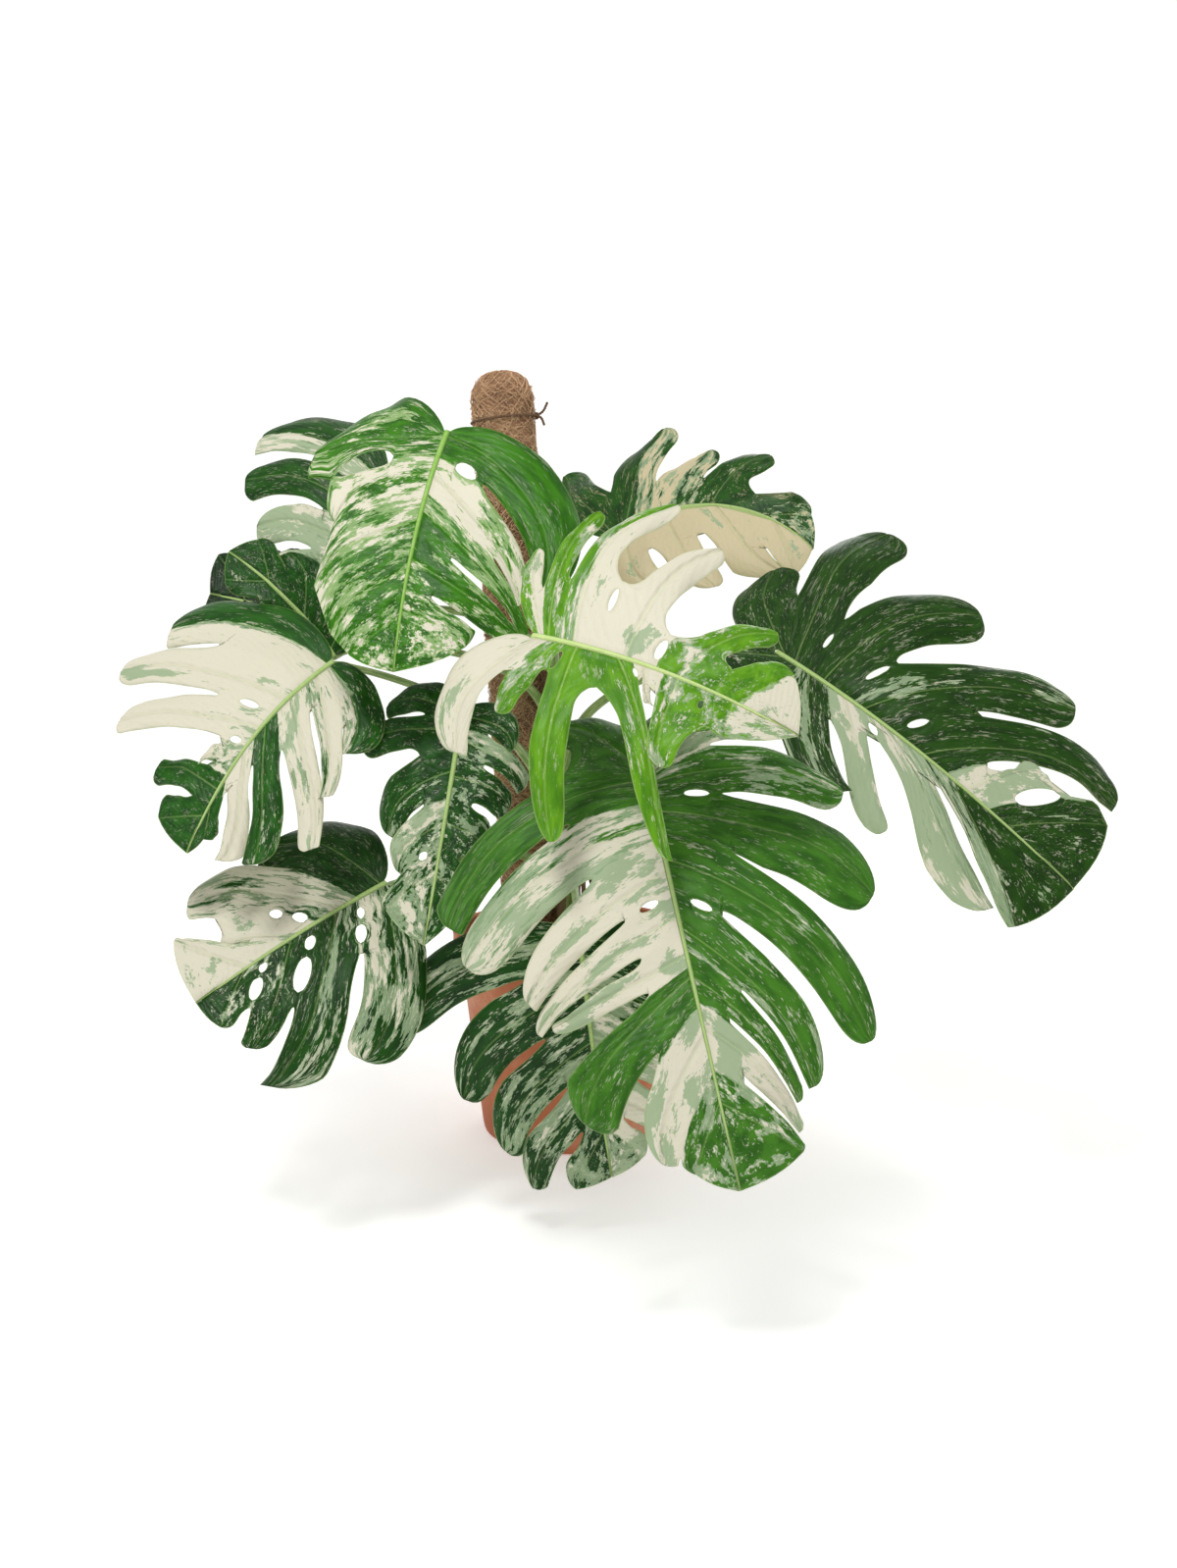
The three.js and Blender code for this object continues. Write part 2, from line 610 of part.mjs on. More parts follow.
// The vine climbs one side of the pole, leaning a little away from it and back at every joint.
const stemRadius = (height) => lerp(STEM_FOOT_RADIUS, STEM_TIP_RADIUS, (height - STEM_FOOT) / (STEM_TIP - STEM_FOOT));
function stemAt(height) {
  const weave = 1.5 * (1 - Math.cos((height - STEM_FOOT) / 22));
  const offset = WRAP_RADIUS + STEM_FOOT_RADIUS + 2 + weave;
  return poleAt(height).addScaledVector(STEM_SIDE.clone().normalize(), offset);
}
function stem(grow) {
  const path = [];
  for (let height = STEM_FOOT - grow; height < STEM_TIP; height += 50) path.push(stemAt(height));
  path.push(stemAt(STEM_TIP + grow));
  const curve = new THREE.CatmullRomCurve3(path);
  return tube(curve, STEM_FOOT_RADIUS + grow, STEM_TIP_RADIUS + grow, 22, 8);
}

// A petiole leaves the vine at a joint, rises outwards and meets the back of the leaf's base. Where
// the pole stands in the way, "leave" gives the direction, in degrees, in which it sets off.
function petiole(leaf, node, rise, leave) {
  const centre = stemAt(node);
  const goal = leaf.base.clone().addScaledVector(leaf.normal, -(BLADE / 2 + RIB_DEPTH + PETIOLE_END_RADIUS + GAP));
  const straight = Math.atan2(goal.y - centre.y, goal.x - centre.x);
  const side = leave === undefined ? straight : rad(leave);
  const out = new THREE.Vector3(Math.cos(side), Math.sin(side), 0);
  const start = centre.clone().addScaledVector(out, stemRadius(node) + PETIOLE_FOOT_RADIUS + GAP);
  const reach = start.distanceTo(goal);
  const second = start.clone().addScaledVector(out, reach * (leave === undefined ? 0.22 : 0.4)).addScaledVector(UP, reach * rise);
  const third = goal.clone().addScaledVector(leaf.normal, -reach * 0.22).addScaledVector(UP, reach * 0.1);
  const curve = new THREE.CubicBezierCurve3(start, second, third, goal);
  return tube(curve, PETIOLE_FOOT_RADIUS, PETIOLE_END_RADIUS, 8, 6);
}

// A root hangs from the vine and ends in the soil.
function soilRoot(node, side, reach, end, grow) {
  const from = stemAt(node);
  const out = new THREE.Vector3(Math.cos(side), Math.sin(side), 0);
  const start = from.clone().addScaledVector(out, stemRadius(node) + ROOT_RADIUS + GAP);
  const path = [
    start,
    start.clone().addScaledVector(out, reach * 0.7).add(new THREE.Vector3(0, 0, -20)),
    start.clone().addScaledVector(out, reach).setZ(lerp(node, SOIL_LEVEL, 0.6)),
    start.clone().addScaledVector(out, reach * 0.9).setZ(SOIL_LEVEL),
    start.clone().addScaledVector(out, reach * 0.8).setZ(end - grow),
  ];
  return tube(new THREE.CatmullRomCurve3(path), ROOT_RADIUS + grow, ROOT_RADIUS * 0.7 + grow, 9, 6);
}

// Twine around the pole alone, or around the pole and the vine together.
function twineLoop(height, withStem, tilt) {
  const centre = poleAt(height);
  const reach = WRAP_RADIUS + TWINE_RADIUS + GAP + 0.6;
  const path = [];
  const toward = Math.atan2(STEM_SIDE.y, STEM_SIDE.x);
  const stemReach = stemRadius(height) + TWINE_RADIUS + GAP + 1.2;
  const distance = stemAt(height).sub(centre).setZ(0).length();
  const open = withStem ? Math.acos((reach - stemReach) / distance) : 0;
  const steps = 16;
  for (let i = 0; i <= steps; i += 1) {
    const angle = toward + open + ((2 * Math.PI - 2 * open) * i) / steps;
    path.push(centre.clone().add(new THREE.Vector3(Math.cos(angle), Math.sin(angle), 0).multiplyScalar(reach)));
  }
  if (withStem) {
    const hub = stemAt(height);
    for (let i = 0; i <= 6; i += 1) {
      const angle = toward - open + (2 * open * i) / 6;
      path.push(hub.clone().add(new THREE.Vector3(Math.cos(angle), Math.sin(angle), 0).multiplyScalar(stemReach)));
    }
  } else {
    path.pop();
  }
  path.forEach((point) => point.setZ(height + tilt * (point.x - centre.x)));
  const curve = new THREE.CatmullRomCurve3(path, true);
  return tube(curve, TWINE_RADIUS, TWINE_RADIUS, 24, 5, true);
}

// The loose end of the top tie, joined to its loop at the knot.
function topTie() {
  const height = 905;
  const loop = twineLoop(height, false, 0.12);
  const reach = WRAP_RADIUS + TWINE_RADIUS + GAP + 0.6;
  const knot = poleAt(height).add(new THREE.Vector3(reach, 0, 0)).setZ(height + 0.12 * reach);
  const end = tube(new THREE.CatmullRomCurve3([
    knot.clone(),
    knot.clone().add(new THREE.Vector3(9, -3, 5)),
    knot.clone().add(new THREE.Vector3(15, -5, 16)),
  ]), 3.2, 2.2, 4, 6);
  return join(loop, end);
}

// ---------------------------------------------------------------- assembly
const part = new THREE.Group();
part.name = 'potted_monstera';
function put(name, geometry, material) {
  const mesh = new THREE.Mesh(geometry, material);
  mesh.name = name;
  part.add(mesh);
}

const inner = (height) => lerp(POT_FOOT_RADIUS, POT_RIM_RADIUS - RIM_PROUD, height / POT_HEIGHT) - POT_WALL;
const bandFoot = POT_HEIGHT - RIM_HEIGHT;
put('pot', turned([
  [0, 0], [POT_FOOT_RADIUS - 4, 0], [POT_FOOT_RADIUS, 4],
  [inner(bandFoot) + POT_WALL, bandFoot], [POT_RIM_RADIUS - 2, bandFoot + 2],
  [POT_RIM_RADIUS, POT_HEIGHT - 3], [POT_RIM_RADIUS - 3, POT_HEIGHT],
  [inner(POT_HEIGHT) + 2, POT_HEIGHT], [inner(POT_HEIGHT), POT_HEIGHT - 2],
  [inner(POT_FLOOR), POT_FLOOR], [0, POT_FLOOR],
], new THREE.Vector3(), UP, 36), POT_FINISH);

const roots = [
  [400, -0.2, 34, 190],
  [345, 0.7, 26, 195],
  [455, -1.1, 42, 192],
];
const soilBody = turned([
  [0, POT_FLOOR + GAP], [inner(POT_FLOOR) - GAP, POT_FLOOR + GAP],
  [inner(SOIL_LEVEL - 6) - GAP, SOIL_LEVEL - 6], [inner(SOIL_LEVEL) - 12, SOIL_LEVEL],
  [70, SOIL_LEVEL + SOIL_CROWN * 0.7], [0, SOIL_LEVEL + SOIL_CROWN],
], new THREE.Vector3(), UP, 30);
put('soil', cut(soilBody, [
  stake(GAP), coirWrap(GAP), stem(GAP), ...roots.map((row) => soilRoot(...row, GAP)),
]), SOIL_FINISH);

put('pole_stake', stake(0), STAKE_FINISH);
put('coir_wrap', coirWrap(0), COIR_FINISH);
put('main_stem', stem(0), STEM_FINISH);
roots.forEach((row, i) => put(`aerial_root_${i + 1}`, soilRoot(...row, 0), ROOT_FINISH));
put('tie_top', topTie(), TWINE_FINISH);
put('tie_upper', twineLoop(640, true, 0.05), TWINE_FINISH);
put('tie_lower', twineLoop(360, true, -0.04), TWINE_FINISH);

for (const [name, entry] of Object.entries(LEAVES)) {
  const leaf = readLeaf(entry);
  put(name, leafBlade(leaf), LEAF_FINISH[name]);
  put(name.replace('_leaf', '_petiole'), petiole(leaf, entry.node, entry.rise ?? 0.35, entry.leave), STEM_FINISH);
}

export default part;
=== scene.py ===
"""Potted variegated monstera: leaves, stalks, coir, twine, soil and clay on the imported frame."""

import json
import logging
import math
from dataclasses import dataclass, field
from enum import Enum

import bpy
import numpy as np
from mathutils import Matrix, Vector, kdtree

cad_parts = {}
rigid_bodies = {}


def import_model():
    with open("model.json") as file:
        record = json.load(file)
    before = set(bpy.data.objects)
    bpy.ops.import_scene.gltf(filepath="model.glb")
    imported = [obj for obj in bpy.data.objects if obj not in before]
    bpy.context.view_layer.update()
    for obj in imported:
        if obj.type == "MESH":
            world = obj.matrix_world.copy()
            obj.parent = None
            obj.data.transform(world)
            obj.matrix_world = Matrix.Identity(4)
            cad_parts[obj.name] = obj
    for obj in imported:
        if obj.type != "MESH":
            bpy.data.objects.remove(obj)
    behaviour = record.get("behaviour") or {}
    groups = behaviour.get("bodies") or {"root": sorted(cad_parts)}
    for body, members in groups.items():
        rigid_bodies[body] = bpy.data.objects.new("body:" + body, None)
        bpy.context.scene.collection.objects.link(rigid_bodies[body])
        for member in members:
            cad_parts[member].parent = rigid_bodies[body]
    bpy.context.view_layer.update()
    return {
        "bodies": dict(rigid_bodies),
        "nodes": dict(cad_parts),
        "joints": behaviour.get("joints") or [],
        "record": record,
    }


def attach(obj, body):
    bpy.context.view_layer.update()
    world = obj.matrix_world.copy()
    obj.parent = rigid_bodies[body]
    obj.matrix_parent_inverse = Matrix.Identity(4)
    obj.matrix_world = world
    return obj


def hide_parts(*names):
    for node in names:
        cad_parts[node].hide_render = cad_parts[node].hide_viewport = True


log = logging.getLogger("monstera")

MM = 0.001
RIB_HALF = 3.5  # half the midrib's width at the leaf's base, mm
RIB_TIP = 1.1  # the same at its tip, mm
RIB_RISE = 2.0  # how far it stands out in front at its base, mm
RIB_ROWS = 61  # cross lines along it
RIB_DEPTH = 3.2  # how far the midrib stands out behind, mm
HOOK = 0.32  # how far a lobe's end turns towards the leaf's tip, in lobe widths
HOOK_FROM = 0.55  # where along the lobe the turn starts
TIP_FROM = 0.88  # where the last lobes leave the midrib
ROWS = 30  # cross lines along a lobe
ROW_GAP = 0.0064  # least distance between them, in lobe lengths
ROUND_ENDS = (0.991, 0.996, 0.999)  # extra cross lines that round a lobe's end
COLUMNS = 6  # cells between a vein and the edge of its lobe
APART = 777.0  # sets the right half's pattern apart from the left half's, mm
NUDGE = 1e-9  # keeps points at one place on the midrib in their order
OPENING = 0.12  # how much of a lobe's length a split takes to round open
LOBE_GAP = 1.8  # least gap left on each side of a split, mm
SKIN_HALF = 0.45  # half the blade's thickness, mm


class Side(Enum):
    """The two halves of a leaf, by the sign of their distance from the midrib."""

    LEFT = -1
    RIGHT = 1


# ------------------------------------------------------------------ shader maths
class Value:
    """A shader socket that can be used in plain arithmetic."""

    def __init__(self, graph: "Graph", socket: bpy.types.NodeSocket) -> None:
        """Keeps the socket and the graph that it belongs to."""
        self.graph = graph
        self.socket = socket

    def maths(self, operation: str, *others: object, first: bool = True) -> "Value":
        """Adds one Math node.

        Args:
            operation: The node's operation.
            others: The other terms, numbers or wrapped sockets.
            first: True when this value is the first term.

        Returns:
            The result.
        """
        terms = (self, *others) if first else (*others, self)
        return self.graph.add("ShaderNodeMath", {"operation": operation}, dict(enumerate(terms)))

    def __add__(self, other: object) -> "Value":
        """Adds the other term."""
        return self.maths("ADD", other)

    def __radd__(self, other: object) -> "Value":
        """Adds this value to a number."""
        return self.maths("ADD", other)

    def __sub__(self, other: object) -> "Value":
        """Takes the other term away."""
        return self.maths("SUBTRACT", other)

    def __rsub__(self, other: object) -> "Value":
        """Takes this value away from a number."""
        return self.maths("SUBTRACT", other, first=False)

    def __mul__(self, other: object) -> "Value":
        """Multiplies by the other term."""
        return self.maths("MULTIPLY", other)

    def __rmul__(self, other: object) -> "Value":
        """Multiplies a number by this value."""
        return self.maths("MULTIPLY", other)

    def clamp(self) -> "Value":
        """Limits the value to 0..1."""
        return self.graph.add("ShaderNodeClamp", {}, {"Value": self})

    def step(self, low: float, high: float) -> "Value":
        """Runs smoothly from 0 at low to 1 at high.

        Args:
            low: The value that gives 0.
            high: The value that gives 1; below low it turns the ramp round.

        Returns:
            The smoothed value.
        """
        inputs = {"Value": self, "From Min": low, "From Max": high}
        return self.graph.add("ShaderNodeMapRange", {"interpolation_type": "SMOOTHSTEP"}, inputs)

    def sine(self) -> "Value":
        """Takes the sine of the value in radians."""
        return self.maths("SINE")


class Graph:
    """A material's nodes, written as expressions."""

    def __init__(self, name: str) -> None:
        """Starts a material with its Principled shader."""
        self.material = bpy.data.materials.new(name)
        self.material.use_nodes = True
        self.tree = self.material.node_tree
        self.shader = self.tree.nodes["Principled BSDF"]

    def add(self, kind: str, settings: dict, inputs: dict, output: object = 0) -> Value:
        """Adds one node.

        Args:
            kind: The node's type name.
            settings: Properties set on the node.
            inputs: Socket name or number to a value, colour or wrapped socket.
            output: The output wanted, by number or name.

        Returns:
            The wrapped output.
        """
        node = self.tree.nodes.new(kind)
        for key, value in settings.items():
            setattr(node, key, value)
        for key, value in inputs.items():
            self.feed(node.inputs[key], value)
        return Value(self, node.outputs[output])

    def feed(self, socket: bpy.types.NodeSocket, value: object) -> None:
        """Links or sets one input.

        Args:
            socket: The input.
            value: A wrapped socket, a number or a tuple.
        """
        if isinstance(value, Value):
            self.tree.links.new(value.socket, socket)
        else:
            socket.default_value = value

    def attribute(self, name: str) -> Value:
        """Reads a number kept on the mesh.

        Args:
            name: The attribute's name.

        Returns:
            The number.
        """
        return self.add("ShaderNodeAttribute", {"attribute_name": name}, {}, "Fac")

    def place(self) -> Value:
        """Reads the object's own coordinates, in metres."""
        return self.add("ShaderNodeTexCoord", {}, {}, "Object")

    def vector(self, x: object, y: object, z: object = 0.0) -> Value:
        """Builds a vector from three numbers.

        Args:
            x: First number.
            y: Second number.
            z: Third number.

        Returns:
            The vector.
        """
        return self.add("ShaderNodeCombineXYZ", {}, {"X": x, "Y": y, "Z": z})

    def noise(self, where: Value, scale: float, detail: float = 2.0, rough: float = 0.5) -> Value:
        """Soft random pattern around 0.5.

        Args:
            where: Coordinates.
            scale: Features per unit.
            detail: Octaves.
            rough: Strength of the finer octaves.

        Returns:
            The pattern.
        """
        inputs = {"Vector": where, "Scale": scale, "Detail": detail, "Roughness": rough}
        return self.add("ShaderNodeTexNoise", {}, inputs)

    def blend(self, mask: object, below: object, above: object) -> Value:
        """Mixes two colours.

        Args:
            mask: 0 gives below, 1 gives above.
            below: First colour.
            above: Second colour.

        Returns:
            The mixed colour.
        """
        inputs = {0: mask, 6: below, 7: above}
        return self.add("ShaderNodeMix", {"data_type": "RGBA"}, inputs, 2)

    def bump(self, height: Value, distance: float, strength: float = 1.0) -> Value:
        """Turns a height into a normal.

        Args:
            height: The height, where 1 stands for the distance.
            distance: Metres of relief.
            strength: Share of the effect.

        Returns:
            The normal.
        """
        inputs = {"Height": height, "Distance": distance, "Strength": strength}
        return self.add("ShaderNodeBump", {}, inputs, "Normal")

    def finish(
        self, colour: Value, roughness: object, normal: Value, **constants: float
    ) -> bpy.types.Material:
        """Connects the surface.

        Args:
            colour: Base colour.
            roughness: Roughness, a number or a pattern.
            normal: Surface normal.
            constants: Other shader inputs, with underscores for spaces.

        Returns:
            The material.
        """
        self.feed(self.shader.inputs["Base Color"], colour)
        self.feed(self.shader.inputs["Roughness"], roughness)
        self.feed(self.shader.inputs["Normal"], normal)
        for key, value in constants.items():
            self.shader.inputs[key.replace("_", " ")].default_value = value
        return self.material


def paint(code: str) -> tuple[float, float, float, float]:
    """Reads a six-digit colour code.

    Args:
        code: Red, green and blue as hexadecimal digits.

    Returns:
        The colour in linear light, with alpha 1.
    """
    parts = [int(code[i : i + 2], 16) / 255 for i in (0, 2, 4)]
    linear = [c / 12.92 if c <= 0.04045 else ((c + 0.055) / 1.055) ** 2.4 for c in parts]
    return (*linear, 1.0)


# ------------------------------------------------------------------ finishes
@dataclass(frozen=True)
class LeafSkin:
    """Variegated leaf surface: green tissue, cream sectors, grey-green where they overlap, with
    painted shade in the hollows of the bump.
    """

    name: str
    # green and deep are partly the leaf's own green and partly painted light: a leaf in the light
    # gets lighter values, a leaf in shade darker ones.
    green: str
    deep: str
    cream: str = "d4cfba"
    grey: str = "93a883"
    rib: str = "a9c478"
    seed: float = 0.0
    fleck: float = 0.5
    veil: float = 0.5
    gloss: float = 0.36
    patch: tuple[float, float] = (0.05, 2.2)
    streak: tuple[float, float] = (0.17, 5.0)
    cloud: tuple[float, float] = (0.05, 2.0)
    painted_shade_size: tuple[float, float] = (0.12, 6.0)
    speck: tuple[float, float] = (0.8, 24.0)
    underside_tint: str = "9fae7c"

    def marks(self, g: Graph, size: tuple, step: float, detail: float, rough: float) -> Value:
        """Makes a pattern drawn out along the lobes.

        Args:
            g: The material's nodes.
            size: Features per millimetre across a lobe, and per lobe length.
            step: Where the pattern is cut from the noise.
            detail: Octaves.
            rough: Strength of the finer octaves.

        Returns:
            The pattern, around 0.5.
        """
        across, along = g.attribute("across"), g.attribute("along")
        seed = self.seed * 7.3 + step
        return g.noise(g.vector(across * size[0], along * size[1], seed), 1.0, detail, rough)

    def build(self, underside: bool) -> bpy.types.Material:
        """Makes the upper or the paler lower skin.

        Args:
            underside: True for the lower skin.

        Returns:
            The material.
        """
        g = Graph(f"{self.name}_{'lower' if underside else 'upper'}_skin")
        along, across = g.attribute("along"), g.attribute("across")
        tone, offset = g.attribute("tone"), g.attribute("offset")
        streaks = self.marks(g, self.streak, 0.0, 6.0, 0.66)
        patches = self.marks(g, self.patch, 3.0, 2.0, 0.5)
        fine = self.marks(g, self.speck, 9.0, 4.0, 0.65)
        wild = (streaks - 0.5) * 1.7 + (patches - 0.5) * 0.9 + (fine - 0.5) * 0.5
        centred = tone - 0.5
        level = centred + centred * centred * centred * 1.6 + 0.44
        pale = (level + wild).step(0.485, 0.53)
        haze = self.marks(g, self.cloud, 17.0, 6.0, 0.6)
        misty = ((haze - 0.5) * 2.2 + (fine - 0.5) * 0.5 + (self.veil * 0.7 + 0.04)).step(0.47, 0.53)
        mist = (level + wild * 0.9 + (haze - 0.5) * 0.8 + 0.12 + self.veil * 0.12).step(0.48, 0.51)
        flecks = (fine + (streaks - 0.5) * 0.8).step(0.615 - 0.05 * self.fleck, 0.665)
        # Painted shade: the deep green goes where this pattern also lowers the bump's relief, so the
        # hollows of the relief are painted darker.
        shade = self.marks(g, self.painted_shade_size, 23.0, 3.0, 0.5)
        green = g.blend(shade.step(0.32, 0.68), paint(self.deep), paint(self.green))
        green = g.blend(offset.step(0.012, 0.0) * 0.25, green, paint(self.green))
        green = g.blend(mist * 0.8, green, paint(self.grey))
        green = g.blend(flecks * (tone * 1.3 + 0.27).clamp() * 0.8, green, paint(self.cream))
        white = g.blend(misty * 0.9, paint(self.cream), paint(self.grey))
        white = g.blend((1.0 - fine).step(0.62, 0.68) * 0.3, white, paint(self.grey))
        colour = g.blend(pale, green, white)
        edge, rib = g.attribute("edge"), g.attribute("rib")
        vein = offset.step(0.0015, 0.0005) * (1.0 - along * 0.7) * 0.26
        colour = g.blend(vein, colour, paint(self.rib))
        colour = g.blend(edge.step(0.0014, 0.0004) * 0.3, colour, paint(self.rib))
        colour = g.blend(rib.step(0.02, 0.25) * 0.9, colour, paint(self.rib))
        if underside:
            colour = g.blend(0.35, colour, paint(self.underside_tint))
        side_veins = ((across * 0.9 + along * 60.0).sine() * 0.5 + 0.5) * 0.25
        relief = offset.step(0.0, 0.005) * 1.4 + side_veins + fine * 0.4 + shade * 1.2
        normal = g.bump(relief, 0.0011, 0.8)
        if underside:
            return g.finish(colour, 0.62 + fine * 0.1, normal, Specular_IOR_Level=0.12)
        roughness = self.gloss + (fine - 0.5) * 0.14 + pale * 0.08
        return g.finish(colour, roughness, normal, Specular_IOR_Level=0.15)


@dataclass(frozen=True)
class StalkSkin:
    """Smooth green stalk with paler flecks running along it."""

    name: str = "stalk_skin"
    green: str = "6f8f45"
    pale: str = "b4bf83"
    brown: str = "7d6a45"

    def build(self) -> bpy.types.Material:
        """Makes the skin.

        Returns:
            The material.
        """
        g = Graph(self.name)
        along, around = g.attribute("along"), g.attribute("around")
        streaks = g.noise(g.vector(around * 9.0, along * 26.0, 1.0), 1.0, 4.0, 0.6)
        fine = g.noise(g.vector(around * 40.0, along * 300.0, 2.0), 1.0, 3.0, 0.6)
        colour = g.blend(streaks.step(0.5, 0.6) * 0.7, paint(self.green), paint(self.pale))
        colour = g.blend(fine.step(0.62, 0.7) * 0.5, colour, paint(self.brown))
        normal = g.bump(streaks + fine * 0.4, 0.0004, 0.8)
        return g.finish(colour, 0.42 + fine * 0.15, normal, Coat_Weight=0.08)


@dataclass(frozen=True)
class BarkSkin:
    """Woody skin of the vine and its roots, ringed by old leaf scars."""

    name: str
    green: str
    brown: str
    greenness: float = 0.5

    def build(self) -> bpy.types.Material:
        """Makes the skin.

        Returns:
            The material.
        """
        g = Graph(self.name)
        along, around = g.attribute("along"), g.attribute("around")
        rings = ((along * 125.0).sine() * 0.5 + 0.5).step(0.9, 0.99)
        cork = g.noise(g.vector(around * 5.0, along * 60.0, 4.0), 1.0, 5.0, 0.6)
        fine = g.noise(g.vector(around * 30.0, along * 420.0, 5.0), 1.0, 3.0, 0.6)
        mask = cork.step(0.62 - 0.25 * self.greenness, 0.4 - 0.2 * self.greenness)
        colour = g.blend(mask, paint(self.brown), paint(self.green))
        colour = g.blend(rings * 0.7, colour, paint("5a4630"))
        colour = g.blend(fine.step(0.6, 0.72) * 0.35, colour, paint("3c2e22"))
        normal = g.bump(cork + fine * 0.5 - rings * 0.6, 0.0012, 0.8)
        return g.finish(colour, 0.7 + fine * 0.15, normal)


@dataclass(frozen=True)
class CoirSkin:
    """Matted coconut fibre, with painted light that makes it paler towards the top."""

    name: str = "coir_skin"
    dark: str = "6a4433"
    mid: str = "b27f5c"
    light: str = "e2bb94"
    relief: float = 0.002

    def build(self) -> bpy.types.Material:
        """Makes the fibre's colour and relief.

        Returns:
            The material.
        """
        g = Graph(self.name)
        place = g.place()
        strands = g.noise(place, 420.0, 4.0, 0.7)
        bands = {"wave_type": "BANDS", "bands_direction": "DIAGONAL"}
        sizes = {"Vector": place, "Scale": 160.0, "Distortion": 30.0, "Detail": 3.0}
        twist = g.add("ShaderNodeTexWave", bands, sizes, 1)
        clumps = g.noise(place, 38.0, 4.0, 0.6)
        # Painted light: the fibre is painted paler towards the top of the pole, where the light
        # falls, and so darker lower down.
        painted_top_light = g.attribute("height").step(0.82, 0.96)
        colour = g.blend(clumps.step(0.35, 0.65), paint(self.dark), paint(self.mid))
        colour = g.blend((twist * 0.6 + strands * 0.5).step(0.45, 0.9), colour, paint(self.light))
        colour = g.blend(painted_top_light * 0.35, colour, paint("d8aa84"))
        normal = g.bump(twist + strands, self.relief, 0.9)
        return g.finish(colour, 0.9, normal, Specular_IOR_Level=0.2)


@dataclass(frozen=True)
class TwineSkin:
    """Dark twisted twine."""

    name: str = "twine_skin"

    def build(self) -> bpy.types.Material:
        """Makes the twine.

        Returns:
            The material.
        """
        g = Graph(self.name)
        place = g.place()
        fuzz = g.noise(place, 900.0, 3.0, 0.6)
        colour = g.blend(fuzz.step(0.35, 0.65), paint("3c2c20"), paint("8a6a4c"))
        return g.finish(colour, 0.9, g.bump(fuzz, 0.0008, 0.8))


@dataclass(frozen=True)
class ClaySkin:
    """Plain fired clay with a faint mineral bloom and turning lines."""

    name: str = "clay_skin"

    def build(self) -> bpy.types.Material:
        """Makes the clay.

        Returns:
            The material.
        """
        g = Graph(self.name)
        place = g.place()
        height = g.add("ShaderNodeSeparateXYZ", {}, {0: place}, 2)
        grain = g.noise(place, 620.0, 3.0, 0.6)
        clouds = g.noise(place, 14.0, 5.0, 0.6)
        lines = g.noise(g.vector(0.0, 0.0, height * 480.0), 1.0, 2.0, 0.5)
        bloom = (clouds + (grain - 0.5) * 0.3).step(0.52, 0.74)
        colour = g.blend(clouds.step(0.3, 0.7), paint("a9603f"), paint("bd7451"))
        colour = g.blend(bloom * 0.35, colour, paint("d9bda6"))
        colour = g.blend(grain.step(0.64, 0.74) * 0.3, colour, paint("7c4530"))
        return g.finish(colour, 0.82 + grain * 0.1, g.bump(grain * 0.5 + lines, 0.0006, 0.7))


@dataclass(frozen=True)
class SoilSkin:
    """Dark potting mix, in grains of several browns."""

    name: str = "soil_skin"

    def build(self) -> bpy.types.Material:
        """Makes the mix.

        Returns:
            The material.
        """
        g = Graph(self.name)
        place = g.place()
        crumbs = g.noise(place, 210.0, 5.0, 0.7)
        grains = g.add("ShaderNodeTexVoronoi", {}, {"Vector": place, "Scale": 260.0})
        colour = g.blend(crumbs.step(0.35, 0.65), paint("241810"), paint("5a4130"))
        colour = g.blend(grains.step(0.16, 0.06) * 0.5, colour, paint("8a6c50"))
        return g.finish(colour, 0.95, g.bump(crumbs + grains, 0.004, 0.9))


@dataclass(frozen=True)
class ChipSkin:
    """Bark chips and pale grit lying on the soil; each chip has its own tint."""

    name: str = "chip_skin"

    def build(self) -> bpy.types.Material:
        """Makes the chips' colour.

        Returns:
            The material.
        """
        g = Graph(self.name)
        tint = g.attribute("tint")
        grain = g.noise(g.place(), 500.0, 3.0, 0.6)
        bark = g.blend(grain.step(0.35, 0.65), paint("4a3222"), paint("8c6545"))
        colour = g.blend(tint.step(0.78, 0.8), bark, paint("d9d4c8"))
        return g.finish(colour, 0.92, g.bump(grain, 0.0008, 0.8))


@dataclass(frozen=True)
class StakeSkin:
    """Plain pine stake."""

    name: str = "stake_skin"

    def build(self) -> bpy.types.Material:
        """Makes the wood.

        Returns:
            The material.
        """
        g = Graph(self.name)
        x, y, z = (g.add("ShaderNodeSeparateXYZ", {}, {0: g.place()}, i) for i in range(3))
        grain = g.noise(g.vector(x * 160.0, y * 160.0, z * 9.0), 1.0, 4.0, 0.6)
        colour = g.blend(grain.step(0.35, 0.65), paint("b08a5e"), paint("8a6640"))
        return g.finish(colour, 0.75, g.bump(grain, 0.0005, 0.7))


# ------------------------------------------------------------------ meshes
def new_piece(
    name: str, points: np.ndarray, faces: list, numbers: dict, skins: list
) -> bpy.types.Object:
    """Makes a mesh object.

    Args:
        name: The piece's name.
        points: Corner points in metres, one row each.
        faces: Corner numbers of each face.
        numbers: Attribute name to one number per point.
        skins: Materials in slot order.

    Returns:
        The object, linked to the scene.
    """
    mesh = bpy.data.meshes.new(name)
    mesh.from_pydata(points.tolist(), [], faces)
    mesh.update()
    mesh.shade_smooth()
    for key, values in numbers.items():
        layer = mesh.attributes.new(key, "FLOAT", "POINT")
        layer.data.foreach_set("value", np.asarray(values, np.float32))
    for skin in skins:
        mesh.materials.append(skin)
    piece = bpy.data.objects.new(name, mesh)
    bpy.context.scene.collection.objects.link(piece)
    return piece


def settle(piece: bpy.types.Object, node: str) -> None:
    """Ties a piece to the frame.

    Args:
        piece: The piece.
        node: The frame node that it stands for.
    """
    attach(piece, "root")
    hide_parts(node)
    log.info("%s: %d faces for %s", piece.name, len(piece.data.polygons), node)


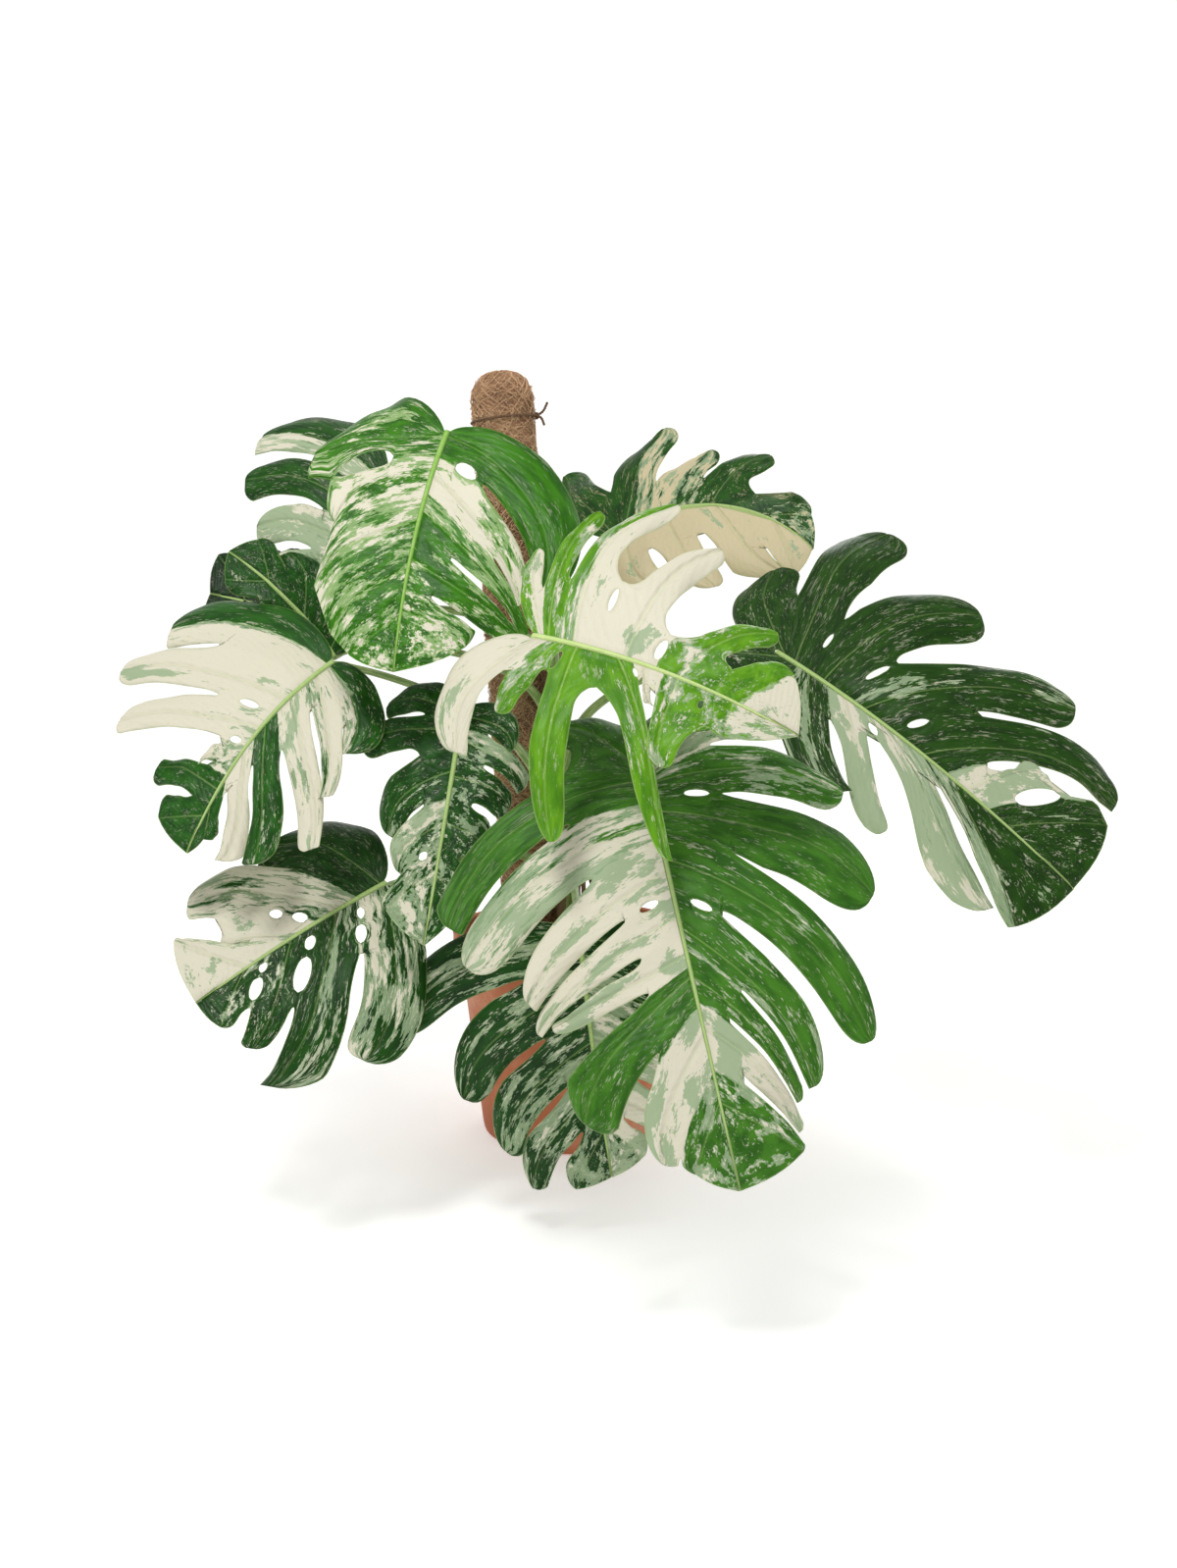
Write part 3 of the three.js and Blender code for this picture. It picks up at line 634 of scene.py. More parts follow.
def smooth(x: np.ndarray) -> np.ndarray:
    """Runs from 0 to 1 with level ends.

    Args:
        x: Position, 0 to 1, limited outside.

    Returns:
        The eased value.
    """
    x = np.clip(x, 0, 1)
    return x * x * (3 - 2 * x)


def through(points: list, count: int) -> np.ndarray:
    """Draws an even smooth curve through points.

    Args:
        points: Points to pass through.
        count: Number of points on the curve.

    Returns:
        The curve's points.
    """
    p = np.asarray(points, float)
    p = np.vstack([2 * p[0] - p[1], p, 2 * p[-1] - p[-2]])
    fine = []
    for i in range(1, len(p) - 2):
        for t in np.linspace(0, 1, 24, endpoint=False):
            a, b, c, d = p[i - 1 : i + 3]
            square, cube = (2 * a - 5 * b + 4 * c - d) * t**2, (3 * b - a - 3 * c + d) * t**3
            fine.append(0.5 * (2 * b + (c - a) * t + square + cube))
    fine.append(p[-2])
    fine = np.array(fine)
    travelled = np.concatenate([[0], np.cumsum(np.linalg.norm(np.diff(fine, axis=0), axis=1))])
    wanted = np.linspace(0, travelled[-1], count)
    return np.stack([np.interp(wanted, travelled, fine[:, k]) for k in range(3)], 1)


def sweep(path: np.ndarray, radii: np.ndarray, sides: int) -> tuple:
    """Runs a round section along a path.

    Args:
        path: Points in metres.
        radii: Radius at each point.
        sides: Corners of the section.

    Returns:
        Points, faces, distance along and angle around for every point.
    """
    step = np.gradient(path, axis=0)
    step /= np.linalg.norm(step, axis=1)[:, None]
    side = np.cross(step[0], (0.0, 0.0, 1.0))
    if np.linalg.norm(side) < 0.1:
        side = np.cross(step[0], (1.0, 0.0, 0.0))
    points, along, around = [], [], []
    gone = np.concatenate([[0], np.cumsum(np.linalg.norm(np.diff(path, axis=0), axis=1))])
    angles = np.linspace(0, 2 * math.pi, sides, endpoint=False)
    for k, centre in enumerate(path):
        side = side - step[k] * (side @ step[k])
        side /= np.linalg.norm(side)
        other = np.cross(step[k], side)
        ring = np.outer(np.cos(angles), side) + np.outer(np.sin(angles), other)
        points.append(centre + ring * radii[k])
        along.append(np.full(sides, gone[k]))
        around.append(np.abs(angles / math.pi - 1))
    faces = turned_faces(len(path), sides)
    return np.vstack(points), faces, np.concatenate(along), np.concatenate(around)


def turned_faces(rows: int, sides: int) -> list:
    """Joins rings of points into a closed skin.

    Args:
        rows: Number of rings.
        sides: Points on each ring.

    Returns:
        Faces, with both ends capped.
    """
    faces = []
    for k in range(rows - 1):
        a, b = k * sides, (k + 1) * sides
        faces += [(a + i, a + (i + 1) % sides, b + (i + 1) % sides, b + i) for i in range(sides)]
    faces += [tuple(range(sides))[::-1], tuple((rows - 1) * sides + i for i in range(sides))]
    return faces


def joined(parts: list) -> tuple:
    """Puts several point and face lists into one.

    Args:
        parts: Points, faces, then any number of per-point lists.

    Returns:
        The same lists for the whole.
    """
    faces, start = [], 0
    for part in parts:
        faces += [tuple(i + start for i in face) for face in part[1]]
        start += len(part[0])
    columns = [np.concatenate([part[k] for part in parts]) for k in range(2, len(parts[0]))]
    return (np.vstack([part[0] for part in parts]), faces, *columns)


# ------------------------------------------------------------------ leaves
@dataclass
class Lobe:
    """One lobe: where its vein leaves the midrib, its angle, length, width, bend and next split."""

    at: float
    angle: float
    length: float
    width: float
    bend: float
    split: float
    tones: tuple[float, float]
    holes: tuple = ()
    droop: float = 0.0
    twist: float = 0.0

    def __post_init__(self) -> None:
        """Turns the angles into radians."""
        self.angle = math.radians(self.angle)
        self.bend = math.radians(self.bend)


@dataclass
class Leaf:
    """A leaf: where it hangs, how it bends, its lobes on both sides and its skin."""

    name: str
    base: tuple
    tip: tuple
    face: tuple
    arch: float
    sway: float
    fold: float
    curl: float
    left: list
    right: list
    skin: LeafSkin
    node: float = 0.0
    leave: float | None = None
    fullness: float = 1.12
    blunt: float = 0.3
    axes: tuple = field(init=False, default=())

    def __post_init__(self) -> None:
        """Works out the leaf's own axes and its flat length."""
        base, tip, face = (np.array(v, float) for v in (self.base, self.tip, self.face))
        chord = tip - base
        forward = chord / np.linalg.norm(chord)
        normal = face - face @ forward * forward
        normal /= np.linalg.norm(normal)
        self.origin = base
        self.axes = (forward, normal, np.cross(normal, forward))
        self.arch, self.sway = math.radians(self.arch), math.radians(self.sway)
        self.fold, self.curl = math.radians(self.fold), math.radians(self.curl)
        self.flat = np.linalg.norm(chord) * self.arch / 2 / math.sin(self.arch / 2)
        self.length = self.flat
        if self.sway != 0:
            self.length = self.flat * self.sway / 2 / math.sin(self.sway / 2)

    def midrib(self, t: np.ndarray, aside: np.ndarray | float = 0.0) -> np.ndarray:
        """Follows the midrib in the flat leaf.

        Args:
            t: Position from base to tip, 0 to 1.
            aside: Distance to the right of it, mm.

        Returns:
            Flat points.
        """
        t = np.asarray(t, float)
        start = self.sway / 2
        heading = start - self.sway * t
        if self.sway == 0:
            line = np.stack([0 * t, t * self.flat], -1)
        else:
            aside_line = np.cos(heading) - math.cos(start)
            ahead_line = math.sin(start) - np.sin(heading)
            line = self.length / self.sway * np.stack([aside_line, ahead_line], -1)
        return line + np.stack([aside * np.cos(heading), -aside * np.sin(heading)], -1)

    def rib_half(self, t: np.ndarray) -> np.ndarray:
        """Gives half the midrib's width.

        Args:
            t: Position from base to tip.

        Returns:
            Millimetres.
        """
        return RIB_HALF + (RIB_TIP - RIB_HALF) * np.asarray(t, float)

    def vein(self, side: int, lobe: Lobe, share: np.ndarray) -> tuple:
        """Follows a lobe's vein.

        Args:
            side: -1 or 1.
            lobe: The lobe.
            share: Position along the vein, 0 to 1.

        Returns:
            Flat points, and the direction across the vein towards the leaf's tip.
        """
        heading = self.sway / 2 - self.sway * lobe.at
        way = lobe.angle - lobe.bend * share
        if abs(lobe.bend) < 1e-6:
            across = lobe.length * share * math.sin(lobe.angle)
            ahead = lobe.length * share * math.cos(lobe.angle)
        else:
            across = lobe.length / lobe.bend * (np.cos(way) - math.cos(lobe.angle))
            ahead = lobe.length / lobe.bend * (math.sin(lobe.angle) - np.sin(way))
        c, s = math.cos(heading), math.sin(heading)

        def turn(x: np.ndarray, y: np.ndarray) -> np.ndarray:
            """Turns a step from the vein's start into the flat leaf."""
            return np.stack([x * side * c + y * s, -x * side * s + y * c], -1)

        start = self.midrib(lobe.at, side * self.rib_half(lobe.at))
        return start + turn(across, ahead), turn(-np.cos(way), np.sin(way))

    def room(self, flat: np.ndarray, lift: np.ndarray) -> np.ndarray:
        """Bends the flat leaf into the room.

        Args:
            flat: Flat points, mm.
            lift: Height over the sheet, mm.

        Returns:
            Points in metres.
        """
        u, v = flat[..., 0], flat[..., 1]
        bend = self.curl / (self.flat / 2)
        reach = np.abs(u)
        out = (math.sin(self.fold) - np.sin(self.fold - bend * reach)) / bend * np.sign(u)
        rise = (np.cos(self.fold - bend * reach) - math.cos(self.fold)) / bend + lift
        slope = self.arch / 2 - self.arch * v / self.flat
        radius = self.flat / self.arch
        ahead = radius * (math.sin(self.arch / 2) - np.sin(slope)) - np.sin(slope) * rise
        up = radius * (np.cos(slope) - math.cos(self.arch / 2)) + np.cos(slope) * rise
        forward, normal, sideways = self.axes
        whole = self.origin + np.multiply.outer(ahead, forward) + np.multiply.outer(up, normal)
        return (whole + np.multiply.outer(out, sideways)) * MM


class Blade:
    """The fine mesh of one leaf."""

    def __init__(self, leaf: Leaf) -> None:
        """Starts an empty mesh for the leaf."""
        self.leaf = leaf
        self.flat: list = []
        self.facts: dict = {key: [] for key in ("along", "across", "tone", "offset", "rib", "lift")}
        self.known: dict = {}
        self.faces: list = []

    def corner(self, point: np.ndarray, **facts: float) -> int:
        """Adds a flat point once.

        Args:
            point: Flat point, mm.
            facts: Its numbers.

        Returns:
            The point's number.
        """
        key = (round(float(point[0]), 4), round(float(point[1]), 4))
        if key not in self.known:
            self.known[key] = len(self.flat)
            self.flat.append(point)
            for name, values in self.facts.items():
                values.append(facts.get(name, 0.0))
        return self.known[key]

    def panel(self, face: list) -> None:
        """Adds a flat face without its repeated corners.

        Args:
            face: Corner numbers, anticlockwise.
        """
        kept = [n for i, n in enumerate(face) if n != face[i - 1]]
        if len(kept) > 2:
            self.faces.append(kept)

    def outlines(self, side: int, lobes: list, shares: np.ndarray) -> list:
        """Finds the back edge, vein and front edge of each lobe.

        Args:
            side: -1 or 1.
            lobes: The lobes on that side.
            shares: Positions along the lobes.

        Returns:
            One (back, vein, front) for each lobe.
        """
        leaf = self.leaf
        veins = []
        for lobe in lobes:
            line, ahead = leaf.vein(side, lobe, shares)
            if lobe is not lobes[-1]:
                hook = HOOK * lobe.width * np.clip((shares - HOOK_FROM) / (1 - HOOK_FROM), 0, 1) ** 2
                line = line + ahead * hook[:, None]
            veins.append((line, ahead))
        ahead = self.rounding(shares, 0.68 + 0.16 * leaf.blunt, 2.2 + 0.8 * leaf.blunt)
        behind = self.rounding(shares, 0.3 + 0.45 * leaf.blunt, 1.6 + 1.2 * leaf.blunt)

        def edge(i: int, way: int, middle: np.ndarray | None) -> np.ndarray:
            """Finds one free edge of a lobe.

            Args:
                i: The lobe's number.
                way: 1 for the edge towards the leaf's tip, -1 for the other.
                middle: The line halfway to the next lobe, if there is one.

            Returns:
                Flat points.
            """
            line, normal = veins[i]
            half = lobes[i].width / 2 * leaf.fullness
            wide = half * (ahead if way > 0 else behind)
            if middle is not None:
                limit = np.abs(((middle - line) * normal).sum(-1))
                wide = np.minimum(wide, np.maximum(limit * 0.95 - LOBE_GAP, half * 0.25))
            return line + way * normal * wide[:, None]

        backs, fronts = [None] * len(lobes), [None] * len(lobes)
        root = leaf.midrib(0.0, side * leaf.rib_half(0.0))
        ease = smooth(shares / 0.4)[:, None]
        backs[0] = root * (1 - ease) + edge(0, -1, None) * ease
        for i, lobe in enumerate(lobes[:-1]):
            middle = (veins[i][0] + veins[i + 1][0]) / 2
            x = np.clip((shares - lobe.split) / OPENING, 0, 1)
            opened = np.sqrt(1 - (1 - x) ** 2)[:, None]
            front = middle * (1 - opened) + edge(i, 1, middle) * opened
            back = middle * (1 - opened) + edge(i + 1, -1, middle) * opened
            for centre, half, width in lobe.holes:
                x = (shares - centre) / half
                gap = np.sqrt(np.clip(1 - x * x, 0, 1)) * width / 2
                near = np.abs(((middle - veins[i][0]) * veins[i][1]).sum(-1))
                gap = np.minimum(gap, near * 0.75)[:, None]
                front = front - veins[i][1] * gap
                back = back + veins[i + 1][1] * gap
            fronts[i], backs[i + 1] = front, back
        last = TIP_FROM + (1 - TIP_FROM) * shares
        fronts[-1] = leaf.midrib(last, side * leaf.rib_half(last))
        return [(backs[i], veins[i][0], fronts[i]) for i in range(len(lobes))]

    @staticmethod
    def rounding(shares: np.ndarray, start: float, power: float) -> np.ndarray:
        """Narrows a lobe to a rounded end.

        Args:
            shares: Positions along the lobe.
            start: Where the narrowing starts.
            power: 1 gives a straight taper, higher values a squarer end.

        Returns:
            Share of the full width that is left.
        """
        x = np.clip((shares - start) / (1 - start), 0, 1)
        return (1 - x**power) ** (1 / power)

    @staticmethod
    def tip_bulge(
        start: np.ndarray, end: np.ndarray, root: np.ndarray, f: float, shares: np.ndarray
    ) -> np.ndarray:
        """Rounds the outline between the last vein's end and the leaf's tip.

        Args:
            start: The vein's end.
            end: The leaf's tip.
            root: The vein's start.
            f: Position from start to end.
            shares: Positions along the lobe.

        Returns:
            How far each row moves outwards.
        """
        chord = end - start
        out = np.array([chord[1], -chord[0]])
        out *= math.copysign(1.0, float(out @ (start - root)))
        return np.outer(smooth((shares - 0.35) / 0.65), out) * 0.28 * f * (1 - f) ** 1.2

    @staticmethod
    def rows(lobes: list) -> np.ndarray:
        """Chooses the cross lines, closer where a split or a hole starts and ends.

        Args:
            lobes: The lobes on one side.

        Returns:
            Positions along the lobes, 0 to 1.
        """
        wanted = [0.0, 1.0]
        for lobe in lobes:
            if lobe.split < 1:
                wanted += [lobe.split + step for step in (0.0, 0.012, 0.036, 0.075, 0.12)]
            for centre, half, _ in lobe.holes:
                wanted += [centre + half * step for step in (-1, -0.87, -0.5, 0, 0.5, 0.87, 1)]
        wanted += list(1 - (1 - np.linspace(0, 1, ROWS + 1)) ** 1.35)
        kept: list = []
        for share in wanted:
            if share <= 1 and all(abs(share - other) > ROW_GAP for other in kept):
                kept.append(share)
        ends = [share for share in ROUND_ENDS if all(abs(share - other) > 0.002 for other in kept)]
        kept += ends
        return np.array(sorted(kept))

    @staticmethod
    def lift(
        lobe: Lobe,
        phase: float,
        place: float,
        shares: np.ndarray,
        loose: np.ndarray,
        free: np.ndarray,
        width: np.ndarray,
    ) -> np.ndarray:
        """Works out how far one line along a lobe stands off the bent leaf.

        Args:
            lobe: The lobe.
            phase: Start of the ripple.
            place: -1 at the lobe's back edge, 0 on its vein, 1 at its front edge.
            shares: Positions along the lobe.
            loose: How far past both its splits each row is.
            free: How far past the split on this side each row is.
            width: Distance from vein to edge, mm.

        Returns:
            Height over the sheet, mm.
        """
        f = abs(place)
        hang = smooth(np.clip(loose, 0, 1) * 1.6)
        apart = smooth(free * 2.5)
        ripple = 1.5 * f**2 * np.sin(shares * 17 + phase) * apart
        pillow = 2.4 * f * f * smooth(shares * 5)
        vault = 1.5 * math.sin(math.pi * f) - 0.2 * width * f * f
        lift = lobe.droop * hang + lobe.twist * hang * place
        lift = lift + ripple + pillow * (1 - apart) + apart * vault
        return lift * np.minimum(1, (1 - shares) * 5 + 0.6)

    def half(self, side: Side) -> list:
        """Builds one half and finds its edge along the midrib.

        Args:
            side: Which half.

        Returns:
            (position, point number) pairs from base to tip.
        """
        leaf = self.leaf
        lobes = leaf.left if side is Side.LEFT else leaf.right
        sign = side.value
        shares = self.rows(lobes)
        count = len(shares)
        rib: dict = {}
        spots = [lobe.at for lobe in lobes]
        middles = [0.0] + [(a + b) / 2 for a, b in zip(spots, spots[1:])] + [TIP_FROM]
        marks = np.cumsum([0.0] + [lobe.width for lobe in lobes]) + (APART if sign > 0 else 0.0)
        edges = self.outlines(sign, lobes, shares)
        for i, (lobe, (back, vein, front)) in enumerate(zip(lobes, edges)):
            before = lobes[i - 1].split if i else 0.2
            grid = np.zeros((count, 2 * COLUMNS + 1), int)
            free_back, free_front = shares - before, shares - lobe.split
            for k in range(-COLUMNS, COLUMNS + 1):
                f = abs(k) / COLUMNS
                if k < 0:
                    outer, limit, free = back, middles[i], free_back
                else:
                    outer, limit, free = front, middles[i + 1], free_front
                line = vein * (1 - f) + outer * f
                if i + 1 == len(lobes) and k > 0:
                    line = line + self.tip_bulge(vein[-1], outer[-1], vein[0], f, shares)
                offset = np.linalg.norm(line - vein, axis=1)
                place = lobe.at * (1 - f) + limit * f
                tone = lobe.tones[0] if k < 0 else lobe.tones[1]
                if k == 0:
                    tone = sum(lobe.tones) / 2
                width = np.linalg.norm(outer - vein, axis=1)
                loose = np.minimum(free_back, free_front)
                lift = self.lift(lobe, 2.1 * i + k, k / COLUMNS, shares, loose, free, width)
                for j in range(count):
                    grid[j, k + COLUMNS] = self.corner(
                        line[j],
                        along=shares[j],
                        across=marks[i] + lobe.width * (0.5 + k / COLUMNS / 2),
                        tone=tone,
                        offset=offset[j] * MM,
                        lift=lift[j],
                    )
                if i + 1 == len(lobes) and k == COLUMNS:
                    for j in range(count):
                        rib[TIP_FROM + (1 - TIP_FROM) * shares[j]] = grid[j, -1]
                rib[place + NUDGE * k] = grid[0, k + COLUMNS]
            for j in range(count - 1):
                for k in range(2 * COLUMNS):
                    cell = [grid[j, k], grid[j + 1, k], grid[j + 1, k + 1], grid[j, k + 1]]
                    self.panel(cell if sign > 0 else cell[::-1])
        seen, line = set(), []
        for place, number in sorted(rib.items()):
            if number not in seen:
                seen.add(number)
                line.append((place, number))
        return line

    def midrib(self, left: list, right: list) -> None:
        """Fills the strip between the halves with a raised rib.

        Args:
            left: The left half's edge.
            right: The right half's edge.
        """
        spots = np.linspace(0, 1, RIB_ROWS)
        lines = []
        for share in (-0.6, 0.0, 0.6):
            line = []
            for t, point in zip(spots, self.leaf.midrib(spots, share * self.leaf.rib_half(spots))):
                lift = (1.0 if share == 0 else 0.68) * RIB_RISE * (1 - 0.7 * t)
                facts = {"along": t, "across": t * 300, "tone": 0.5, "rib": 1.0, "lift": lift}
                line.append((t, self.corner(point, **facts)))
            lines.append(line)
        for first, second in zip(lines, lines[1:]):
            for (_, a), (_, b), (_, c), (_, d) in zip(first, second, second[1:], first[1:]):
                self.panel([a, b, c, d])
        for edge, line, turn in ((left, lines[0], 1), (right, lines[-1], -1)):
            i = j = 0
            while i + 1 < len(edge) or j + 1 < len(line):
                if j + 1 >= len(line) or (i + 1 < len(edge) and edge[i + 1][0] < line[j + 1][0]):
                    face = [edge[i][1], line[j][1], edge[i + 1][1]]
                    i += 1
                else:
                    face = [edge[i][1], line[j][1], line[j + 1][1]]
                    j += 1
                self.panel(face[::turn])

    def edge_distance(self, flat: np.ndarray, rim: set) -> np.ndarray:
        """Measures how far each point is from the leaf's outline.

        Args:
            flat: Flat points, mm.
            rim: Numbers of the outline's points.

        Returns:
            Metres.
        """
        tree = kdtree.KDTree(len(rim))
        for number in rim:
            tree.insert((*flat[number], 0.0), number)
        tree.balance()
        return np.array([tree.find((*point, 0.0))[2] for point in flat]) * MM

    def build(self) -> bpy.types.Object:
        """Makes the closed, finely bent leaf.

        Returns:
            The leaf's object.
        """
        leaf = self.leaf
        left, right = self.half(Side.LEFT), self.half(Side.RIGHT)
        self.midrib(left, right)
        flat = np.array(self.flat)
        facts = {key: np.array(values) for key, values in self.facts.items()}
        uses: dict = {}
        for face in self.faces:
            for a, b in zip(face, face[1:] + face[:1]):
                uses[(a, b)] = True
        open_edges = [(a, b) for a, b in uses if (b, a) not in uses]
        rim = {n for pair in open_edges for n in pair}
        edge = self.edge_distance(flat, rim)
        count = len(flat)
        u, v = flat[:, 0], flat[:, 1]
        sway = np.sin(u * 0.024 + leaf.skin.seed) * np.sin(v * 0.02 + leaf.skin.seed * 2)
        facts["lift"] = facts["lift"] + 4.2 * sway * np.minimum(1, np.abs(u) / 60)
        sharp = np.minimum(1.0, 0.35 + edge / 0.0015)
        groove = 0.35 * np.exp(-((facts["offset"] / 0.0016) ** 2)) * (1 - facts["rib"])
        upper = facts["lift"] - groove + SKIN_HALF * sharp
        depth = SKIN_HALF * sharp + facts["rib"] * RIB_DEPTH * (1 - facts["along"] * facts["rib"])
        points = np.vstack([leaf.room(flat, upper), leaf.room(flat, facts["lift"] - depth)])
        faces = list(self.faces)
        faces += [[n + count for n in face[::-1]] for face in self.faces]
        faces += [[b, a, a + count, b + count] for a, b in open_edges]
        facts["edge"] = edge
        kept = ("along", "across", "tone", "offset", "rib", "edge")
        numbers = {key: np.tile(facts[key], 2) for key in kept}
        skins = [leaf.skin.build(False), leaf.skin.build(True)]
        triangle = points[faces[0][:3]]
        outward = np.cross(triangle[1] - triangle[0], triangle[2] - triangle[0]) @ leaf.axes[1]
        if outward < 0:
            faces = [face[::-1] for face in faces]
        piece = new_piece(f"{leaf.name}_blade", points, faces, numbers, skins)
        slots = np.zeros(len(faces), np.int32)
        slots[len(self.faces) :] = 1
        piece.data.polygons.foreach_set("material_index", slots)
        self.lay_flat(piece, flat, count)
        return piece

    def lay_flat(self, piece: bpy.types.Object, flat: np.ndarray, count: int) -> None:
        """Lays the upper and lower sides next to each other in the leaf's texture map.

        Args:
            piece: The leaf's object.
            flat: Flat points, mm.
            count: Points on one side.
        """
        low, high = flat.min(0), flat.max(0)
        size = max((high[0] - low[0]) * 2.1, high[1] - low[1])
        spot = (flat - low) / size * 0.98 + 0.005
        both = np.vstack([spot, spot + (0.5, 0.0)])
        layer = piece.data.uv_layers.new(name="OFBake")
        corners = np.empty(len(piece.data.loops), np.int32)
        piece.data.loops.foreach_get("vertex_index", corners)
        layer.data.foreach_set("uv", both[corners].astype(np.float32).ravel())


# ------------------------------------------------------------------ pole and vine, shared sizes
@dataclass
class Pole:
    """The line of the pole and of the vine that climbs it, in millimetres."""

    foot: tuple = (-34.0, 20.0, 30.0)
    top: tuple = (-84.0, 20.0, 964.0)
    radius: float = 38.0
    side: tuple = (0.85, -0.53, 0.0)
    vine_foot: float = 165.0
    vine_tip: float = 815.0
    vine_thick: float = 17.0
    vine_thin: float = 10.0

    def axis(self) -> np.ndarray:
        """Gives the pole's direction as a unit vector."""
        line = np.subtract(self.top, self.foot)
        return line / np.linalg.norm(line)

    def length(self) -> float:
        """Measures the pole from foot to top, in millimetres."""
        return float(np.linalg.norm(np.subtract(self.top, self.foot)))

    def square(self) -> tuple:
        """Gives two directions square to the pole and to each other."""
        side = np.cross(self.axis(), (0.0, 1.0, 0.0))
        return side, np.cross(self.axis(), side)

    def at(self, height: float) -> np.ndarray:
        """Finds the pole's centre.

        Args:
            height: Height above the ground, mm.

        Returns:
            The point.
        """
        axis = self.axis()
        return np.array(self.foot) + axis * (height - self.foot[2]) / axis[2]

    def vine_radius(self, height: float) -> float:
        """Gives the vine's radius.

        Args:
            height: Height above the ground, mm.

        Returns:
            Millimetres.
        """
        share = (height - self.vine_foot) / (self.vine_tip - self.vine_foot)
        return self.vine_thick + (self.vine_thin - self.vine_thick) * share

    def vine(self, height: float) -> np.ndarray:
        """Finds the vine's centre.

        Args:
            height: Height above the ground, mm.

        Returns:
            The point.
        """
        weave = 1.5 * (1 - math.cos((height - self.vine_foot) / 22))
        side = np.array(self.side) / np.linalg.norm(self.side)
        return self.at(height) + side * (self.radius + self.vine_thick + 2 + weave)


POLE = Pole()


# ------------------------------------------------------------------ sub-assemblies
@dataclass
class Petiole:
    """A leaf's stalk, from a sheath on the vine to the joint behind the leaf."""

    leaf: Leaf
    thick: float = 6.0
    thin: float = 3.6

    def build(self, skin: bpy.types.Material) -> None:
        """Makes the stalk.

        Args:
            skin: Its material.
        """
        leaf = self.leaf
        normal = leaf.axes[1]
        centre = POLE.vine(leaf.node)
        goal = leaf.origin - normal * (0.6 + RIB_DEPTH + self.thin + 0.4)
        straight = math.atan2(goal[1] - centre[1], goal[0] - centre[0])
        way = straight if leaf.leave is None else math.radians(leaf.leave)
        out = np.array([math.cos(way), math.sin(way), 0.0])
        start = centre + out * (POLE.vine_radius(leaf.node) + self.thick + 0.4)
        reach = np.linalg.norm(goal - start)
        up = np.array([0.0, 0.0, reach])
        second = start + out * reach * (0.22 if leaf.leave is None else 0.4) + up * 0.35
        third = goal - normal * reach * 0.22 + up * 0.1
        t = np.linspace(0, 1, 70)[:, None]
        path = start * (1 - t) ** 3 + 3 * second * t * (1 - t) ** 2
        path = path + 3 * third * t * t * (1 - t) + goal * t**3
        root = centre + out * POLE.vine_radius(leaf.node) * 0.4 - (0, 0, 6.0)
        ends = leaf.origin + leaf.axes[0] * 6 - normal * 1.5
        path = through([root, *path[::6], goal + normal * 2.5, ends], 96)
        t = np.linspace(0, 1, 96)
        radii = self.thick + (self.thin - self.thick) * t
        sheath, knee = np.exp(-((t / 0.07) ** 2)), np.exp(-(((t - 0.93) / 0.03) ** 2))
        radii = radii * (1 + 0.35 * sheath + 0.28 * knee)
        radii[-4:] *= (0.9, 0.75, 0.55, 0.3)
        points, faces, along, around = sweep(path * MM, radii * MM, 18)
        numbers = {"along": along, "around": around}
        piece = new_piece(f"{leaf.name}_stalk", points, faces, numbers, [skin])
        settle(piece, f"{leaf.name}_petiole")


@dataclass
class CurledEdge:
    """The fresh, rolled edge that hangs from the small left leaf."""

    spine: tuple = (
        (-318, -154, 668),
        (-333, -170, 656),
        (-346, -176, 632),
        (-350, -170, 604),
        (-347, -164, 586),
    )
    half: float = 10.0
    roll: float = 1.5

    def build(self) -> None:
        """Makes the rolled strip."""
        rows, columns = 40, 14
        spine = through(self.spine, rows)
        step = np.gradient(spine, axis=0)
        step /= np.linalg.norm(step, axis=1)[:, None]
        side = np.cross(step, (0.0, -1.0, 0.0))
        side /= np.linalg.norm(side, axis=1)[:, None]
        front = np.cross(side, step)
        t = np.linspace(0, 1, rows)[:, None, None]
        f = np.linspace(-1, 1, columns)[None, :, None]
        wide = self.half * (np.sin(math.pi * np.clip(t, 0, 1) ** 0.8) * 0.9 + 0.1 * (1 - t)) + 0.2
        angle = f * self.roll
        sheets = []
        for thick in (0.4, -0.4):
            reach = wide / self.roll + thick
            rise = np.cos(angle) * reach - wide / self.roll
            bent = spine[:, None] + np.sin(angle) * reach * side[:, None] + rise * front[:, None]
            sheets.append(bent.reshape(-1, 3))
        count = rows * columns
        cells = []
        for k in range(rows - 1):
            a, b = k * columns, (k + 1) * columns
            cells += [(a + i, a + i + 1, b + i + 1, b + i) for i in range(columns - 1)]
        ring = list(range(columns)) + [k * columns + columns - 1 for k in range(1, rows)]
        ring += [(rows - 1) * columns + i for i in range(columns - 2, -1, -1)]
        ring += [k * columns for k in range(rows - 2, 0, -1)]
        faces = cells + [tuple(n + count for n in cell[::-1]) for cell in cells]
        faces += [(b, a, a + count, b + count) for a, b in zip(ring, ring[1:] + ring[:1])]
        along = np.tile(np.repeat(np.linspace(0, 1, rows), columns), 2)
        across = np.tile(np.tile(np.linspace(0, 2 * self.half, columns), rows), 2)
        both = 2 * count
        numbers = {"along": along, "across": across, "offset": np.abs(across - self.half) * MM}
        numbers |= {"tone": np.full(both, 0.12), "edge": np.full(both, 0.01), "rib": np.zeros(both)}
        skin = LeafSkin("rolled_edge", "6f9c1e", "4c7f14", seed=13.0).build(False)
        piece = new_piece("rolled_leaf_edge", np.vstack(sheets) * MM, faces, numbers, [skin])
        settle(piece, "small_left_leaf")


